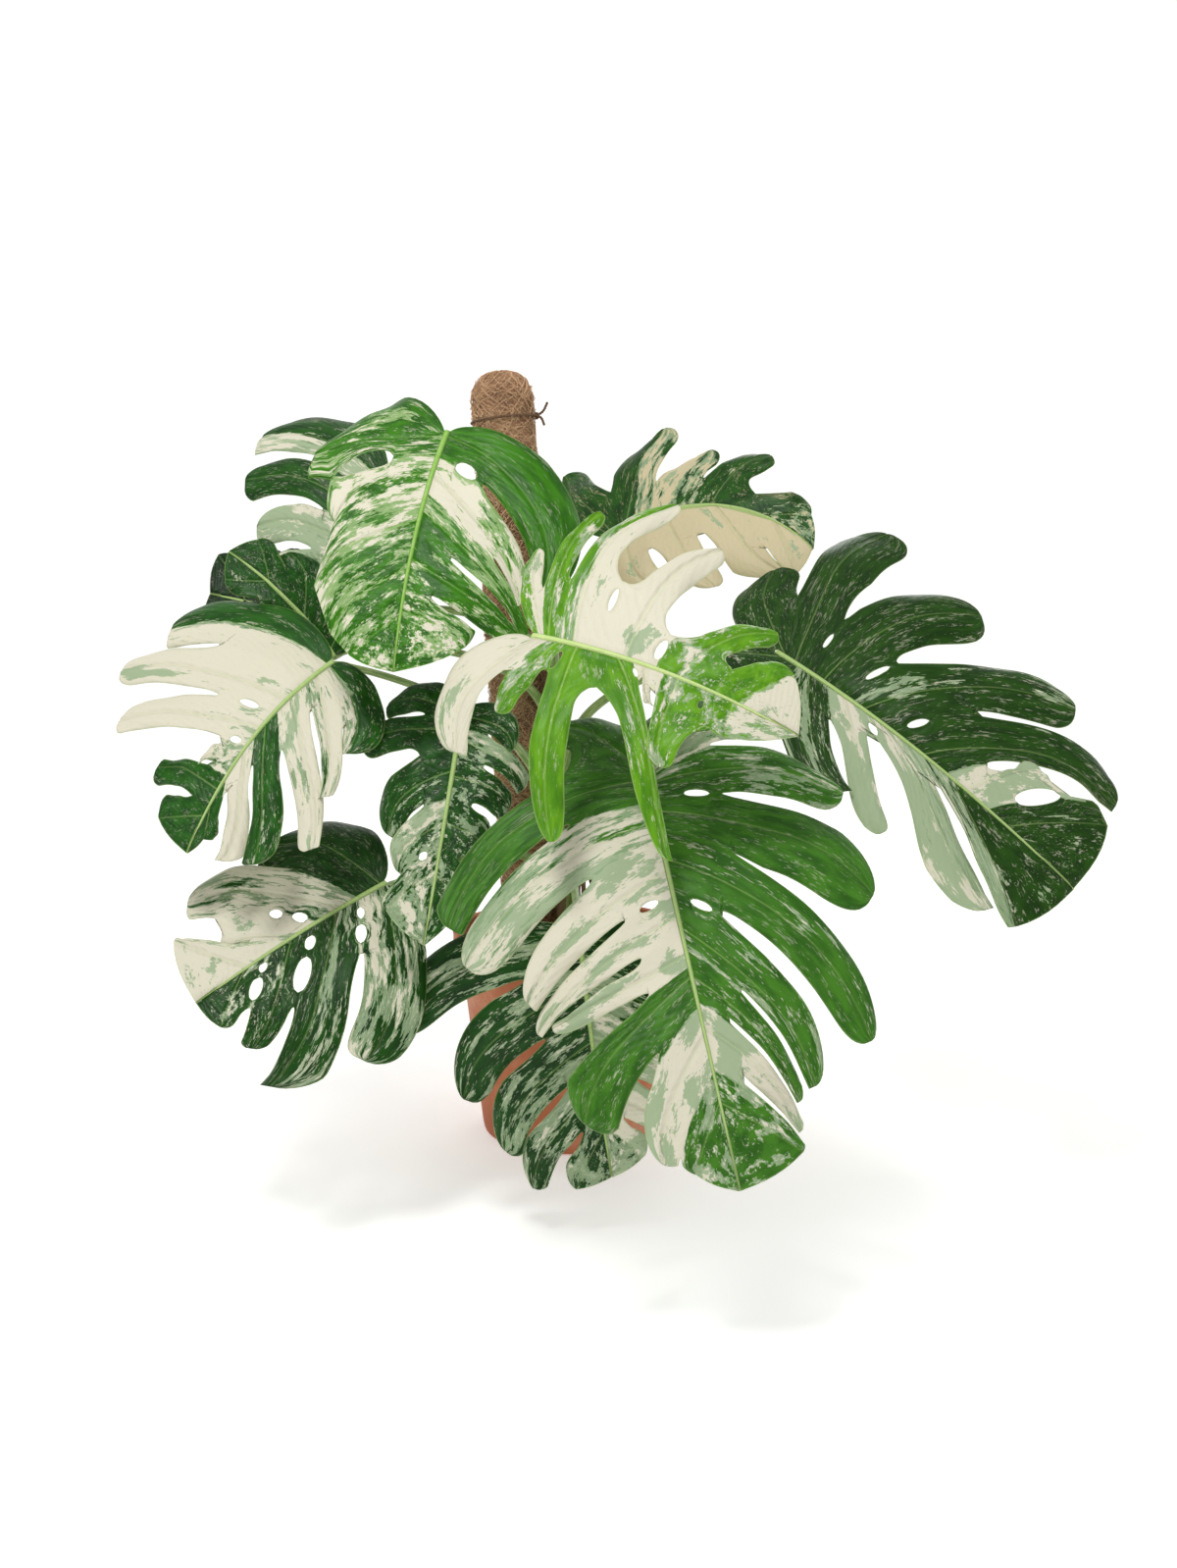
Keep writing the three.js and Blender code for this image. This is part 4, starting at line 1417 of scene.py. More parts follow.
@dataclass
class Foliage:
    """All leaves and their stalks."""

    leaves: list

    def build(self) -> None:
        """Makes every leaf and stalk."""
        stalk = StalkSkin().build()
        for leaf in self.leaves:
            piece = Blade(leaf).build()
            settle(piece, f"{leaf.name}_leaf")
            Petiole(leaf).build(stalk)
        CurledEdge().build()


@dataclass
class Vine:
    """The climbing stem and the roots that hang from it."""

    roots: tuple = (
        (400.0, -0.2, 34.0, 190.0),
        (345.0, 0.7, 26.0, 195.0),
        (455.0, -1.1, 42.0, 192.0),
    )
    root_radius: float = 3.5
    soil: float = 232.0
    joints: tuple = ()

    def build(self) -> None:
        """Makes the stem and the roots."""
        heights = np.linspace(POLE.vine_foot, POLE.vine_tip, 260)
        path = np.array([POLE.vine(h) for h in heights])
        radii = np.array([POLE.vine_radius(h) for h in heights])
        for joint in self.joints:
            knuckle = 0.1 * np.exp(-(((heights - joint) / 7) ** 2))
            waist = 0.05 * np.exp(-(((heights - joint - 14) / 5) ** 2))
            radii *= 1 + knuckle - waist
        radii[-6:] *= (0.97, 0.92, 0.85, 0.72, 0.5, 0.2)
        points, faces, along, around = sweep(path * MM, radii * MM, 36)
        skin = BarkSkin("vine_skin", "6f8a48", "7b6547", 0.55).build()
        piece = new_piece("climbing_stem", points, faces, {"along": along, "around": around}, [skin])
        settle(piece, "main_stem")
        skin = BarkSkin("root_skin", "8a7350", "6b4c34", 0.2).build()
        rng = np.random.default_rng(5)
        for number, (node, side, reach, end) in enumerate(self.roots, 1):
            out = np.array([math.cos(side), math.sin(side), 0.0])
            start = POLE.vine(node) + out * (POLE.vine_radius(node) + self.root_radius + 0.4)
            level = node + (self.soil - node) * 0.6
            far, near, deep = (start + out * reach * share for share in (1.0, 0.9, 0.8))
            far[2], near[2], deep[2] = level, self.soil, end
            bow = start + out * reach * 0.7 - (0, 0, 20)
            path = through([start - out * 6, bow, far, near, deep], 90)
            path += np.cumsum(rng.normal(0, 0.05, path.shape), 0)
            radii = np.linspace(self.root_radius, self.root_radius * 0.7, 90)
            radii = radii * (1 + rng.normal(0, 0.03, 90))
            points, faces, along, around = sweep(path * MM, radii * MM, 14)
            numbers = {"along": along, "around": around}
            piece = new_piece(f"hanging_root_{number}", points, faces, numbers, [skin])
            settle(piece, f"aerial_root_{number}")


@dataclass
class CoirPole:
    """The coir mat on its stake, with the twine that ties the vine to it."""

    foot: float = 150.0
    dome: float = 34.0
    strands: int = 3100
    twine: float = 0.95
    seed: int = 11

    def mat(self) -> None:
        """Makes the lumpy mat with its rounded top."""
        rng = np.random.default_rng(self.seed)
        axis = POLE.axis()
        length = POLE.length()
        rows, sides = 300, 132
        straight = np.linspace(self.foot, length - self.dome, rows - 40)
        angles = np.linspace(0, math.pi / 2, 41)[1:]
        height = np.concatenate([straight, length - self.dome + self.dome * np.sin(angles)])
        rounded = POLE.radius * np.cos(angles) ** 0.8
        radius = np.concatenate([np.full(rows - 40, POLE.radius), rounded])
        turn = np.linspace(0, 2 * math.pi, sides, endpoint=False)
        lumps = np.zeros((rows, sides))
        for _ in range(90):
            wave, tall = int(rng.integers(1, 22)), rng.uniform(0.01, 0.22)
            phase = turn[None] * wave + height[:, None] * tall + rng.uniform(0, 6.3)
            lumps += np.sin(phase) / (2 + wave * 0.5)
        lumps = lumps / np.abs(lumps).max() * 2.4 + rng.normal(0, 0.35, lumps.shape) - 1.2
        radius = np.maximum(radius[:, None] + lumps * (radius / POLE.radius)[:, None], 0.05)
        side, front = POLE.square()
        ring = np.cos(turn)[:, None] * side + np.sin(turn)[:, None] * front
        spots = np.array(POLE.foot) + height[:, None, None] * axis + radius[..., None] * ring[None]
        faces = turned_faces(rows, sides)
        points = spots.reshape(-1, 3) * MM
        piece = new_piece("coir_mat", points, faces, {"height": points[:, 2]}, [CoirSkin().build()])
        settle(piece, "coir_wrap")

    def fibres(self) -> None:
        """Lays loose fibres over the mat."""
        rng = np.random.default_rng(self.seed + 1)
        axis = POLE.axis()
        length = POLE.length()
        side, front = POLE.square()
        parts = []
        for _ in range(self.strands):
            run, spin = rng.uniform(self.foot + 60, length - 4), rng.uniform(0, 2 * math.pi)
            tilt, long = rng.uniform(-1.3, 1.3), rng.uniform(16, 60)
            t = np.linspace(-0.5, 0.5, 11)
            wander = np.sin(t * rng.uniform(4, 11) + rng.uniform(0, 6.3)) * rng.uniform(1.0, 5.5)
            height = run + long * math.sin(tilt) * t + wander * math.cos(tilt)
            height = np.minimum(height, length - 0.4)
            angle = spin + (long * math.cos(tilt) * t + wander * math.sin(tilt)) / POLE.radius
            drop = np.clip((height - (length - self.dome)) / self.dome, 0, 1)
            reach = POLE.radius * np.sqrt(1 - drop**2) ** 0.8
            lift = rng.uniform(-0.6, 1.2) + 1.2 * np.abs(2 * t) ** 3 * rng.uniform(0, 2.4)
            reach = np.maximum(reach + lift, 0.3)[:, None]
            line = np.array(POLE.foot) + height[:, None] * axis
            line = line + reach * (np.cos(angle)[:, None] * side + np.sin(angle)[:, None] * front)
            thick = rng.uniform(0.28, 0.6)
            points, faces, *_ = sweep(line * MM, np.full(11, thick * MM), 3)
            parts.append((points, faces, points[:, 2]))
        points, faces, height = joined(parts)
        skin = CoirSkin("fibre_skin", "b5835c", "dcb186", "f0d9b4", 0.0002).build()
        piece = new_piece("coir_fibres", points, faces, {"height": height}, [skin])
        settle(piece, "coir_wrap")

    def loop(self, height: float, tilt: float, with_vine: bool) -> np.ndarray:
        """Finds the twine's closed path.

        Args:
            height: Height of the tie, mm.
            tilt: Slope of the loop.
            with_vine: True when it goes round the vine as well.

        Returns:
            Points in millimetres.
        """
        centre, reach = POLE.at(height), POLE.radius + 1.6
        toward = math.atan2(POLE.side[1], POLE.side[0])
        hub, hug = POLE.vine(height), POLE.vine_radius(height) + 2.4
        gap = hub - centre
        opened = math.acos((reach - hug) / math.hypot(gap[0], gap[1])) if with_vine else 0.0
        angles = np.linspace(toward + opened, toward + 2 * math.pi - opened, 60)
        path = [centre + reach * np.array([math.cos(a), math.sin(a), 0.0]) for a in angles]
        if with_vine:
            angles = np.linspace(toward - opened, toward + opened, 18)
            path += [hub + hug * np.array([math.cos(a), math.sin(a), 0.0]) for a in angles]
        path = np.array(path)
        path[:, 2] = height + tilt * (path[:, 0] - centre[0])
        return path

    def ply(self, path: np.ndarray, turns: float) -> list:
        """Twists two strands along a path.

        Args:
            path: Points in millimetres.
            turns: Full turns of the twist.

        Returns:
            The strands' meshes.
        """
        line = through(path, max(60, int(turns * 16)))
        step = np.gradient(line, axis=0)
        step /= np.linalg.norm(step, axis=1)[:, None]
        side = np.cross(step, (0.0, 0.0, 1.0))
        side /= np.maximum(np.linalg.norm(side, axis=1), 1e-6)[:, None]
        up = np.cross(side, step)
        parts = []
        for strand in range(2):
            angle = np.linspace(0, turns * 2 * math.pi, len(line)) + strand * math.pi
            twisted = line + 0.8 * (np.cos(angle)[:, None] * side + np.sin(angle)[:, None] * up)
            points, faces, *_ = sweep(twisted * MM, np.full(len(line), self.twine * MM), 8)
            parts.append((points, faces))
        return parts

    def ties(self) -> None:
        """Makes the three ties, each with its knot."""
        skin = TwineSkin().build()
        for name, height, tilt, with_vine in (
            ("top", 905.0, 0.12, False),
            ("upper", 640.0, 0.05, True),
            ("lower", 360.0, -0.04, True),
        ):
            path = self.loop(height, tilt, with_vine)
            parts = self.ply(np.vstack([path, path[:2]]), 46 if with_vine else 38)
            knot = path[30] if with_vine else POLE.at(height) + (POLE.radius + 2.0, 0.0, tilt * 40.0)
            spin = np.linspace(0, 2 * math.pi, 24)
            for turn in range(3):
                lean = turn * 1.05
                out = 1.2 * np.cos(spin) * math.cos(lean) + 1.4 * np.sin(spin * 2 + lean)
                ring = np.stack([out, 3.1 * np.sin(spin), 3.1 * np.cos(spin)], 1)
                parts += self.ply(knot + ring, 4)
            if not with_vine:
                for way in ((9, -3, 5, 15, -5, 16), (7, -6, -3, 11, -9, -12)):
                    ends = np.array([knot, knot + way[:3], knot + way[3:]])
                    parts += self.ply(ends, 4)
            points, faces = joined(parts)
            settle(new_piece(f"twine_{name}", points, faces, {}, [skin]), f"tie_{name}")

    def build(self, frame: dict) -> None:
        """Makes the mat, the fibres and the ties, and finishes the stake.

        Args:
            frame: The loaded frame.
        """
        self.mat()
        self.fibres()
        self.ties()
        stake = frame["nodes"]["pole_stake"]
        stake.data.materials.clear()
        stake.data.materials.append(StakeSkin().build())


@dataclass
class Pot:
    """The clay pot with its potting mix."""

    height: float = 265.0
    foot: float = 112.0
    rim: float = 150.0
    wall: float = 6.0
    band: float = 26.0
    proud: float = 6.0
    level: float = 232.0
    crown: float = 8.0
    grit_from: float = 0.78
    bits: int = 620
    seed: int = 21

    def inner(self, height: float) -> float:
        """Gives the inside radius.

        Args:
            height: Height above the ground, mm.

        Returns:
            Millimetres.
        """
        return self.foot + (self.rim - self.proud - self.foot) * height / self.height - self.wall

    def shell(self) -> None:
        """Turns the pot, with rounded rim, band and foot."""
        band = self.height - self.band
        outer = self.inner(band) + self.wall
        profile = [(0.2, 1.2), (40, 1.2), (92, 1.2), (97, 0)]
        profile += [(self.foot - 4, 0), (self.foot - 1.2, 1.2), (self.foot, 4)]
        profile += [(self.inner(z) + self.wall, z) for z in np.linspace(10, band - 6, 26)]
        profile += [(outer, band - 1), (outer + 1.5, band)]
        profile += [(self.rim - 2.5, band + 0.4), (self.rim - 1.2, band + 2)]
        profile += [(self.rim - 0.8, z) for z in np.linspace(band + 4, self.height - 6, 5)]
        profile += [(self.rim, self.height - 3), (self.rim - 1, self.height - 0.8)]
        profile += [(self.rim - 3, self.height)]
        top = self.inner(self.height)
        profile += [(top + 2.5, self.height), (top + 0.7, self.height - 0.7)]
        profile += [(top, self.height - 2.5)]
        profile += [(self.inner(z), z) for z in np.linspace(self.height - 8, 14, 26)]
        profile += [(self.inner(9) - 4, 9), (40, 9), (0.2, 9)]
        rows, sides = np.array(profile), 144
        turn = np.linspace(0, 2 * math.pi, sides, endpoint=False)
        points = [(r * math.cos(a), r * math.sin(a), z) for r, z in rows for a in turn]
        faces = turned_faces(len(rows), sides)
        piece = new_piece("clay_pot", np.array(points) * MM, faces, {}, [ClaySkin().build()])
        settle(piece, "pot")

    def surface(self, x: np.ndarray, y: np.ndarray) -> np.ndarray:
        """Gives the soil's height.

        Args:
            x: Across, mm.
            y: Back, mm.

        Returns:
            Millimetres.
        """
        gone = np.hypot(x, y) / self.inner(self.level)
        bumps = 1.6 * np.sin(x * 0.11 + 1) * np.sin(y * 0.13) + 1.1 * np.sin(x * 0.27 + y * 0.21)
        mound = self.crown * (1 - np.clip(gone, 0, 1) ** 2)
        return self.level + mound + bumps - 3.5 * smooth((gone - 0.86) / 0.14)

    def mix(self) -> None:
        """Makes the potting mix, closed below."""
        rng = np.random.default_rng(self.seed)
        rows, sides = 110, 220
        turn = np.linspace(0, 2 * math.pi, sides, endpoint=False)
        reach = np.linspace(0.4, self.inner(self.level) - 0.8, rows)
        x, y = reach[:, None] * np.cos(turn), reach[:, None] * np.sin(turn)
        z = self.surface(x, y) + rng.normal(0, 0.75, x.shape) * (reach / reach[-1])[:, None]
        top = np.stack([x, y, z], -1).reshape(-1, 3)
        deep = np.stack([x[-1] * 0.98, y[-1] * 0.98, np.full(sides, self.level - 26)], -1)
        points = np.vstack([top, deep])
        faces = [face[::-1] for face in turned_faces(rows + 1, sides)]
        piece = new_piece("potting_mix", points * MM, faces, {}, [SoilSkin().build()])
        settle(piece, "soil")

    def chips(self) -> None:
        """Scatters bark chips and pale grit on the mix."""
        rng = np.random.default_rng(self.seed + 1)
        cube = np.array([(x, y, z) for x in (-1, 1) for y in (-1, 1) for z in (-1, 1)], float)
        sides = [(0, 1, 3, 2), (4, 6, 7, 5), (0, 4, 5, 1), (2, 3, 7, 6), (0, 2, 6, 4), (1, 5, 7, 3)]
        parts = []
        for _ in range(self.bits):
            reach = (self.inner(self.level) - 9) * math.sqrt(rng.uniform(0.02, 1))
            way = rng.uniform(0, 2 * math.pi)
            x, y = reach * math.cos(way), reach * math.sin(way)
            tint = rng.uniform()
            if tint > self.grit_from:
                size = rng.uniform(1.2, 2.6, 3)
            else:
                size = rng.uniform((3, 1.6, 0.8), (9, 4.5, 2.0))
            shape = cube * size * rng.uniform(0.65, 1.1, (8, 3))
            spin, tip = rng.uniform(0, 2 * math.pi), rng.normal(0, 0.3)
            c, s = math.cos(tip), math.sin(tip)
            shape = shape @ np.array([[c, 0, s], [0, 1, 0], [-s, 0, c]])
            c, s = math.cos(spin), math.sin(spin)
            shape = shape @ np.array([[c, s, 0], [-s, c, 0], [0, 0, 1]])
            centre = np.array([x, y, float(self.surface(np.array(x), np.array(y))) + size[2] * 0.5])
            parts.append((shape + centre, sides, np.full(8, tint)))
        points, faces, tints = joined(parts)
        piece = new_piece("bark_chips", points * MM, faces, {"tint": tints}, [ChipSkin().build()])
        bevel = piece.modifiers.new("soft_edges", "BEVEL")
        bevel.width, bevel.segments = 0.0005, 2
        settle(piece, "soil")

    def build(self) -> None:
        """Makes the pot and what is in it."""
        self.shell()
        self.mix()
        self.chips()


@dataclass
class Studio:
    """Pale floor, soft lights and the camera."""

    target: tuple = (0.025, 0.0, 0.45)
    distance: float = 1.9
    elevation: float = 8.0
    lens: float = 34.24
    sensor: float = 36.0
    ambient: float = 0.62
    floor_glow: float = 0.3

    def floor(self) -> None:
        """Makes the pale floor."""
        g = Graph("pale_floor")
        clouds = g.noise(g.place(), 3.0, 3.0, 0.5)
        pale = g.blend(clouds, paint("fbfbfa"), paint("fdfdfc"))
        skin = g.finish(pale, 0.9, g.bump(clouds, 0.0001, 0.1), Emission_Strength=self.floor_glow)
        g.shader.inputs["Emission Color"].default_value = (1.0, 1.0, 1.0, 1.0)
        turn = np.linspace(0, math.pi / 2, 16)
        line = [(-9.0, 0.0), *zip(4.5 + 2 * np.sin(turn), 2 - 2 * np.cos(turn)), (6.5, 7.0)]
        points = np.array([(x, y, z - 0.0006) for x in (-11.0, 11.0) for y, z in line])
        count = len(line)
        faces = [(k, k + count, k + count + 1, k + 1) for k in range(count - 1)]
        floor = new_piece("floor", points, faces, {}, [skin])

    def light(self, name: str, spot: tuple, size: float, power: float) -> None:
        """Hangs one soft light that shines at the plant.

        Args:
            name: The light's name.
            spot: Its place in metres.
            size: Width in metres.
            power: Watts.
        """
        lamp = bpy.data.lights.new(name, "AREA")
        lamp.shape, lamp.size, lamp.energy = "DISK", size, power
        holder = bpy.data.objects.new(name, lamp)
        holder.location = spot
        aim = Vector(self.target) - Vector(spot)
        holder.rotation_euler = aim.to_track_quat("-Z", "Y").to_euler()
        bpy.context.scene.collection.objects.link(holder)

    def camera(self) -> None:
        """Sets up the camera."""
        up = math.radians(self.elevation)
        back = Vector((0.0, -math.cos(up), math.sin(up))) * self.distance
        data = bpy.data.cameras.new("camera")
        data.lens, data.sensor_fit, data.sensor_width = self.lens, "AUTO", self.sensor
        holder = bpy.data.objects.new("camera", data)
        holder.location = Vector(self.target) + back
        holder.rotation_euler = (-back).to_track_quat("-Z", "Y").to_euler()
        bpy.context.scene.collection.objects.link(holder)
        bpy.context.scene.camera = holder

    def build(self) -> None:
        """Sets up floor, world, lights and camera."""
        self.floor()
        world = bpy.data.worlds.new("pale_room")
        world.use_nodes = True
        sky = world.node_tree.nodes["Background"]
        sky.inputs["Color"].default_value = (1.0, 1.0, 0.995, 1.0)
        sky.inputs["Strength"].default_value = self.ambient
        bpy.context.scene.world = world
        bpy.context.scene.view_settings.view_transform = "Standard"
        self.light("key", (-0.6, -1.5, 2.7), 0.7, 36.0)
        self.light("back", (0.6, 1.9, 1.9), 1.2, 8.0)
        self.camera()


# ------------------------------------------------------------------ the twelve leaves
def leaf_table() -> list:
    """Lists the leaves, each with its lobes from base to tip.

    Returns:
        The leaves.
    """

    def lobes(seed: int, *rows: tuple) -> list:
        """Turns rows of numbers into lobes with their own droop and twist.

        Args:
            seed: Seed of the droop and twist.
            rows: Place, angle, length, width, bend, split, back tone, front tone, then holes.

        Returns:
            The lobes.
        """
        rng = np.random.default_rng(seed)
        made = []
        for at, angle, long, wide, bend, split, back, front, *holes in rows:
            droop, twist = rng.uniform(-15, 1), rng.uniform(-4.5, 4.5)
            tones = (back, front)
            made.append(Lobe(at, angle, long, wide, bend, split, tones, tuple(holes), droop, twist))
        return made

    # Each leaf's green and deep carry painted light: the centre and front leaves near the key light
    # are painted lighter, and the leaves at the sides and back, in shade, are painted darker.
    return [
        Leaf(
            "top", (-130, -205, 870), (-175, -350, 615), (-0.05, -0.85, 0.5), 24, -8, 6, 16,
            lobes(
                1,
                (0.03, 68, 130, 112, -30, 0.93, 0.3, 0.4, (0.62, 0.27, 28)),
                (0.22, 80, 128, 50, 56, 1, 0.62, 0.5),
                (0.42, 60, 130, 62, 12, 1, 0.55, 0.45),
                (0.62, 54, 105, 50, 10, 1, 0.4, 0.4),
                (0.80, 48, 65, 50, 8, 1, 0.35, 0.35),
            ),
            lobes(
                2,
                (0.03, 72, 250, 72, 55, 0.30, 0.02, 0.05, (0.18, 0.07, 16)),
                (0.22, 52, 190, 36, 14, 0.62, 0.6, 0.75),
                (0.38, 54, 185, 38, 8, 0.30, 0.4, 0.3),
                (0.58, 60, 145, 34, -8, 0.28, 0.3, 0.35),
                (0.78, 76, 80, 64, 25, 1, 0.45, 0.4),
            ),
            LeafSkin("top", "38760a", "215606", grey="8cab6c", rib="8dbb55", seed=1.0, veil=0.3),
            node=735, fullness=1.3,
        ),
        Leaf(
            "centre", (-30, -415, 655), (220, -500, 565), (-0.05, -0.8, 0.55), 30, 6, 10, 20,
            lobes(
                3,
                (0.02, 130, 150, 74, 40, 0.42, 0.75, 0.97),
                (0.10, 112, 95, 26, 10, 0.26, 0.5, 0.2, (0.14, 0.08, 7)),
                (0.18, 84, 205, 32, 16, 0.22, 0.05, 0.08),
                (0.34, 46, 210, 34, -20, 0.20, 0.25, 0.2, (0.10, 0.05, 4)),
                (0.44, 66, 44, 20, 0, 0.40, 0.95, 0.9),
                (0.56, 82, 95, 32, 0, 0.75, 0.35, 0.35, (0.27, 0.08, 5)),
                (0.76, 80, 40, 46, 5, 1, 0.4, 0.6),
            ),
            lobes(
                4,
                (0.02, 124, 110, 22, 10, 0.40, 0.3, 0.7),
                (0.06, 110, 165, 22, 25, 0.35, 0.2, 0.3),
                (0.16, 108, 215, 36, 42, 0.40, 0.35, 0.95, (0.28, 0.07, 7)),
                (0.36, 96, 160, 34, 30, 0.26, 1, 1, (0.13, 0.08, 10)),
                (0.56, 76, 110, 28, 40, 0.34, 0.3, 0.2),
                (0.78, 64, 60, 58, 15, 1, 0.1, 0.9),
            ),
            # Painted light: this leaf's greens are painted lighter because it is nearest the key
            # light.
            LeafSkin("centre", "629a18", "437a10", rib="c4da8c", seed=2.0, veil=0.35), node=585,
        ),
        Leaf(
            "front", (80, -395, 525), (160, -615, 170), (0.02, -0.8, 0.55), 34, -5, 6, 24,
            lobes(
                5,
                (0.02, 150, 120, 52, 10, 0.50, 0.1, 0.1),
                (0.05, 88, 260, 72, 46, 0.34, 0, 0.02),
                (0.17, 76, 235, 52, 22, 0.36, 0.6, 0.7),
                (0.30, 66, 185, 42, 14, 0.30, 0.95, 0.85, (0.14, 0.06, 8)),
                (0.41, 68, 170, 32, 10, 0.28, 0.8, 0.9),
                (0.50, 68, 140, 18, -12, 0.30, 1, 1),
                (0.55, 60, 165, 62, 12, 0.40, 0.05, 0.08),
                (0.68, 44, 120, 34, 18, 0.90, 0.95, 1),
                (0.82, 36, 65, 44, 8, 1, 0.4, 0.35),
            ),
            lobes(
                6,
                (0.02, 144, 140, 62, 30, 0.45, 0.15, 0.6),
                (0.06, 100, 200, 46, 30, 0.32, 0.35, 0.25, (0.20, 0.06, 8)),
                (0.14, 76, 230, 66, 24, 0.30, 0.02, 0.05),
                (0.27, 60, 265, 42, 40, 0.22, 0.25, 0.02, (0.12, 0.05, 8)),
                (0.44, 44, 190, 42, 22, 0.36, 0.3, 0.3),
                (0.55, 44, 150, 24, 22, 0.24, 0.2, 0.3),
                (0.66, 48, 130, 24, 24, 0.30, 0.85, 0.9),
                (0.82, 52, 85, 36, 8, 1, 0.35, 0.3),
            ),
            # Painted light: this leaf's greens are painted lighter because it stands near the key
            # light.
            LeafSkin("front", "42781f", "295813", seed=3.0, veil=0.55),
            node=470, fullness=1.28, blunt=0.4,
        ),
        Leaf(
            "right", (245, -135, 625), (545, -315, 380), (0.1, -0.85, 0.5), 22, 2, 6, 14,
            lobes(
                7,
                (0.02, 150, 85, 60, 10, 0.80, 0.1, 0.1),
                (0.12, 54, 165, 70, 20, 0.30, 0.3, 0.2),
                (0.24, 40, 175, 26, 0, 0.22, 0.95, 0.95, (0.12, 0.05, 8)),
                (0.38, 20, 230, 56, -14, 0.24, 0.75, 0.6),
                (0.60, 24, 175, 74, -6, 0.90, 0.5, 0.1),
            ),
            lobes(
                8,
                (0.02, 150, 140, 72, 10, 0.50, 0.05, 0.05),
                (0.06, 114, 245, 84, 10, 0.36, 0.03, 0.05, (0.2, 0.05, 6)),
                (0.16, 94, 220, 72, 38, 0.32, 0.05, 0.1, (0.20, 0.07, 8)),
                (0.30, 64, 245, 60, 30, 0.42, 0.3, 0.12, (0.11, 0.05, 9)),
                (0.50, 58, 230, 68, 44, 0.30, 0.12, 0.1),
                (0.64, 72, 88, 28, 10, 0.95, 0.85, 0.9, (0.58, 0.26, 20)),
                (0.78, 56, 110, 98, 16, 0.80, 0.1, 0.15),
            ),
            # Painted shade: this leaf's greens are painted darker because it stands in shade at the
            # side.
            LeafSkin("right", "23490b", "153406", seed=4.0, fleck=0.6, veil=0.8),
            node=520, blunt=0.7,
        ),
        Leaf(
            "left", (-255, -240, 620), (-395, -345, 425), (-0.15, -0.85, 0.45), 20, -26, 4, 14,
            lobes(
                9,
                (0.03, 84, 210, 70, 26, 0.55, 0.05, 0.9),
                (0.26, 80, 220, 44, 14, 0.34, 1, 1, (0.14, 0.06, 8)),
                (0.42, 74, 170, 44, 10, 0.30, 1, 0.9, (0.12, 0.06, 8)),
                (0.58, 78, 40, 30, 10, 0.40, 0.6, 0.6),
                (0.72, 100, 80, 40, 6, 0.35, 0.02, 0.05),
                (0.84, 70, 50, 52, 6, 1, 0.02, 0.02),
            ),
            lobes(
                10,
                (0.03, 86, 120, 52, 40, 0.60, 0.2, 0.7),
                (0.10, 60, 150, 42, 10, 0.22, 0.75, 0.6),
                (0.24, 56, 180, 36, 4, 0.30, 0.8, 0.7),
                (0.40, 36, 155, 38, -6, 0.25, 0.12, 0.1),
                (0.54, 32, 120, 36, 6, 0.22, 0.9, 1),
                (0.80, 20, 35, 34, 6, 1, 0.1, 0.1),
            ),
            LeafSkin("left", "255a14", "16400e", seed=5.0, veil=0.35), node=445, blunt=1.0,
        ),
        Leaf(
            "low_left", (-200, -255, 375), (-385, -370, 270), (-0.15, -0.8, 0.5), 18, 0, 6, 16,
            lobes(
                11,
                (0.03, 78, 135, 90, 10, 0.50, 0.03, 0.06),
                (0.26, 56, 165, 64, 18, 0.90, 0.65, 0.6, (0.14, 0.07, 12), (0.36, 0.06, 11)),
                (0.50, 36, 75, 36, 0, 0.50, 0.95, 1),
                (0.74, 56, 85, 46, -6, 1, 1, 1),
            ),
            lobes(
                12,
                (0.03, 70, 210, 60, 30, 0.36, 0.42, 0.48, (0.09, 0.04, 8), (0.23, 0.06, 12)),
                (0.28, 48, 205, 84, 10, 0.60, 0.3, 0.2, (0.13, 0.06, 11), (0.37, 0.13, 17)),
                (0.52, 46, 125, 38, 6, 0.66, 0.22, 0.34, (0.16, 0.07, 8), (0.43, 0.14, 13)),
                (0.76, 32, 65, 30, -6, 1, 0.3, 0.2),
            ),
            # Painted shade: this leaf's greens are painted darker because it hangs low in shade.
            LeafSkin("low_left", "1d4a10", "11330b", seed=6.0, fleck=0.8, veil=0.38),
            node=325, blunt=0.7,
        ),
        Leaf(
            "mid_left", (-110, -285, 570), (-145, -380, 335), (-0.1, -0.8, 0.55), 20, 6, 6, 18,
            lobes(
                13,
                (0.03, 120, 85, 46, 24, 0.40, 0.05, 0.06),
                (0.10, 92, 105, 42, 10, 0.36, 0.06, 0.08),
                (0.28, 68, 100, 50, 40, 0.30, 0.15, 0.3),
                (0.50, 56, 70, 40, 20, 0.70, 0.6, 0.4, (0.27, 0.08, 8)),
                (0.70, 48, 65, 46, 10, 0.90, 0.5, 0.45),
            ),
            lobes(
                14,
                (0.03, 80, 70, 42, 20, 0.40, 0.2, 0.25),
                (0.14, 72, 90, 38, 14, 0.40, 0.5, 0.3),
                (0.30, 80, 70, 38, 10, 0.40, 0.3, 0.3),
                (0.50, 76, 55, 44, 10, 0.50, 0.3, 0.3),
                (0.72, 56, 40, 46, 10, 1, 0.3, 0.3),
            ),
            # Painted shade: this leaf's greens are painted darker because it hangs in shade under
            # the upper leaves.
            LeafSkin("mid_left", "1f5012", "12360c", seed=7.0, veil=0.6), node=395,
        ),
        Leaf(
            "back_left", (-225, 15, 835), (-300, -60, 660), (-0.15, -0.9, 0.4), 16, -10, 6, 8,
            lobes(
                15,
                (0.04, 110, 190, 84, 24, 0.36, 0.05, 0.75),
                (0.28, 106, 175, 56, 26, 0.34, 0.1, 0.05),
                (0.50, 100, 125, 48, 20, 0.40, 0.8, 0.75),
                (0.72, 88, 85, 46, 12, 1, 0.6, 0.3),
            ),
            lobes(
                16,
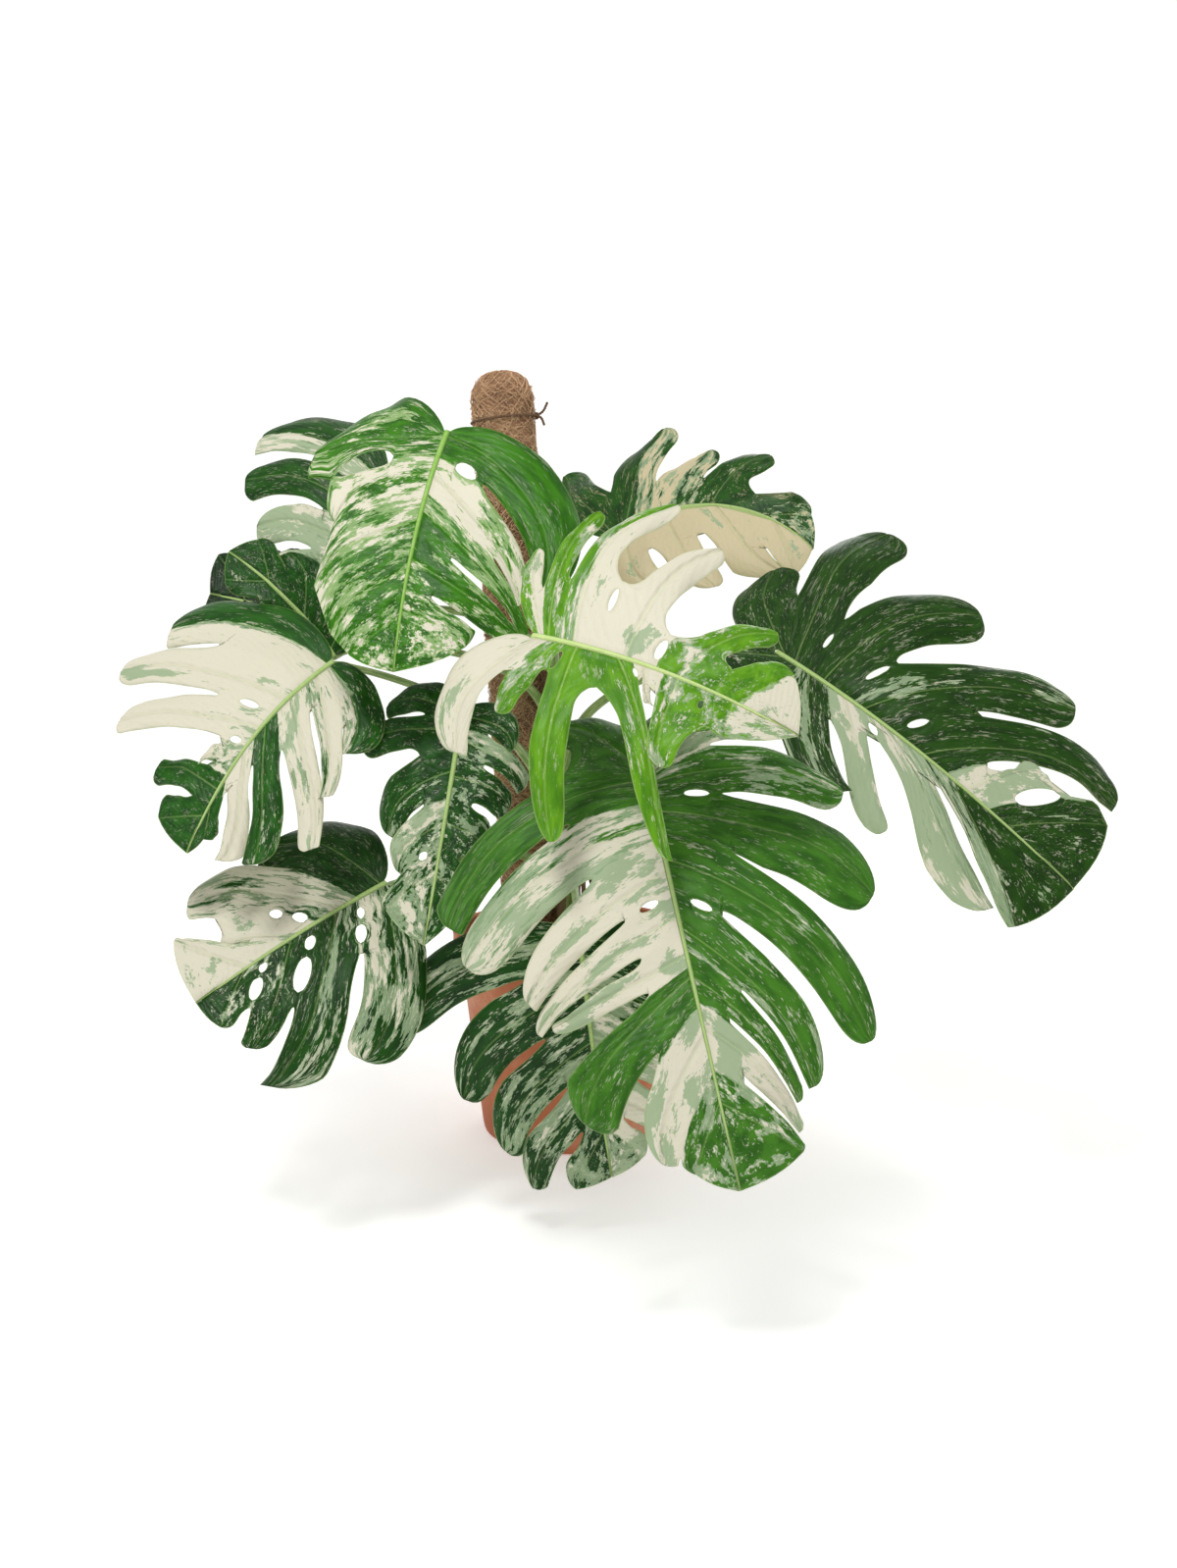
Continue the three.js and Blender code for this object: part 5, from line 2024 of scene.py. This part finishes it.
                (0.04, 82, 70, 72, 20, 0.50, 0.3, 0.3),
                (0.30, 68, 76, 58, 16, 0.50, 0.3, 0.3),
                (0.60, 52, 80, 58, 10, 1, 0.3, 0.3),
            ),
            LeafSkin("back_left", "225114", "153a0f", seed=8.0, veil=0.7),
            node=690, leave=-125, blunt=0.7,
        ),
        Leaf(
            "small_left", (-270, -150, 620), (-390, -140, 740), (-0.2, -0.8, 0.5), 30, -20, 8, 20,
            lobes(
                17,
                (0.06, 62, 90, 56, 20, 0.50, 0.08, 0.1),
                (0.34, 50, 75, 50, 20, 0.60, 0.1, 0.12),
                (0.66, 40, 50, 38, 14, 1, 0.08, 0.1),
            ),
            lobes(
                18,
                (0.06, 76, 75, 50, 14, 0.50, 0.08, 0.1),
                (0.36, 60, 65, 46, 10, 0.50, 0.08, 0.1),
                (0.68, 44, 45, 36, 8, 1, 0.08, 0.1),
            ),
            LeafSkin("small_left", "1d4f10", "12380c", seed=9.0), node=550,
        ),
        Leaf(
            "shade", (-310, -10, 655), (-445, -15, 690), (-0.25, -0.8, 0.45), 24, 0, 6, 16,
            lobes(
                19,
                (0.06, 80, 100, 62, 16, 0.50, 0, 0.03),
                (0.36, 66, 100, 54, 14, 0.50, 0, 0.03),
                (0.68, 50, 75, 46, 8, 1, 0, 0.03),
            ),
            lobes(
                20,
                (0.06, 84, 100, 62, 16, 0.50, 0, 0.03),
                (0.36, 70, 85, 54, 14, 0.50, 0, 0.03),
                (0.68, 54, 60, 46, 8, 1, 0, 0.03),
            ),
            # Painted shade: this leaf hangs in shade behind the left leaves, so its greens are
            # painted very dark.
            LeafSkin("shade", "12330d", "0b2109", seed=10.0, fleck=0.3), node=615, leave=-130,
        ),
        Leaf(
            "top_right", (55, 105, 760), (305, 0, 745), (0.1, -0.9, 0.4), 20, 84, 0, 16,
            lobes(
                21,
                (0.06, 104, 95, 50, 10, 0.40, 1, 1),
                (0.26, 74, 135, 44, 0, 0.36, 1, 1),
                (0.50, 44, 130, 70, -10, 0.60, 1, 1),
                (0.78, 32, 80, 54, -6, 1, 0.9, 0.9),
            ),
            lobes(
                22,
                (0.02, 96, 170, 54, -14, 0.42, 0.1, 0.1),
                (0.08, 60, 190, 60, -8, 0.40, 0.1, 0.5),
                (0.28, 66, 110, 56, -4, 0.44, 0.7, 0.4),
                (0.48, 80, 110, 50, 36, 0.40, 0.3, 0.1),
                (0.74, 36, 55, 60, 14, 1, 0.3, 0.4),
            ),
            # Painted shade: this leaf stands at the back, so its greens and its cream are painted
            # darker.
            LeafSkin("top_right", "245213", "163a0e", cream="c8bc98", seed=11.0, veil=0.3),
            node=650,
        ),
        Leaf(
            "bottom", (15, -320, 335), (50, -345, 70), (0, -0.85, 0.5), 24, -4, 6, 20,
            lobes(
                23,
                (0.03, 92, 230, 60, 34, 0.30, 0.3, 0.25),
                (0.22, 76, 185, 62, 34, 0.30, 0.25, 0.2),
                (0.44, 64, 155, 56, 26, 0.26, 0.3, 0.3),
                (0.62, 52, 135, 46, 16, 0.30, 0.5, 0.35),
                (0.80, 36, 70, 42, 8, 1, 0.4, 0.3),
            ),
            lobes(
                24,
                (0.03, 80, 110, 64, 20, 0.40, 0.2, 0.3),
                (0.20, 68, 145, 52, 20, 0.40, 0.3, 0.5),
                (0.42, 64, 135, 48, 16, 0.40, 0.7, 0.8),
                (0.62, 58, 100, 42, 10, 0.34, 0.9, 0.8),
                (0.78, 46, 55, 38, 8, 1, 0.8, 0.5),
            ),
            LeafSkin("bottom", "1b4712", "10310c", seed=12.0, veil=0.6), node=285,
        ),
    ]


def main() -> None:
    """Builds the plant round the frame."""
    logging.basicConfig(level=logging.INFO, format="%(message)s")
    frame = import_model()
    leaves = leaf_table()
    Studio().build()
    Pot().build()
    CoirPole().build(frame)
    Vine(joints=tuple(leaf.node for leaf in leaves)).build()
    Foliage(leaves).build()


if __name__ == "__main__":
    main()
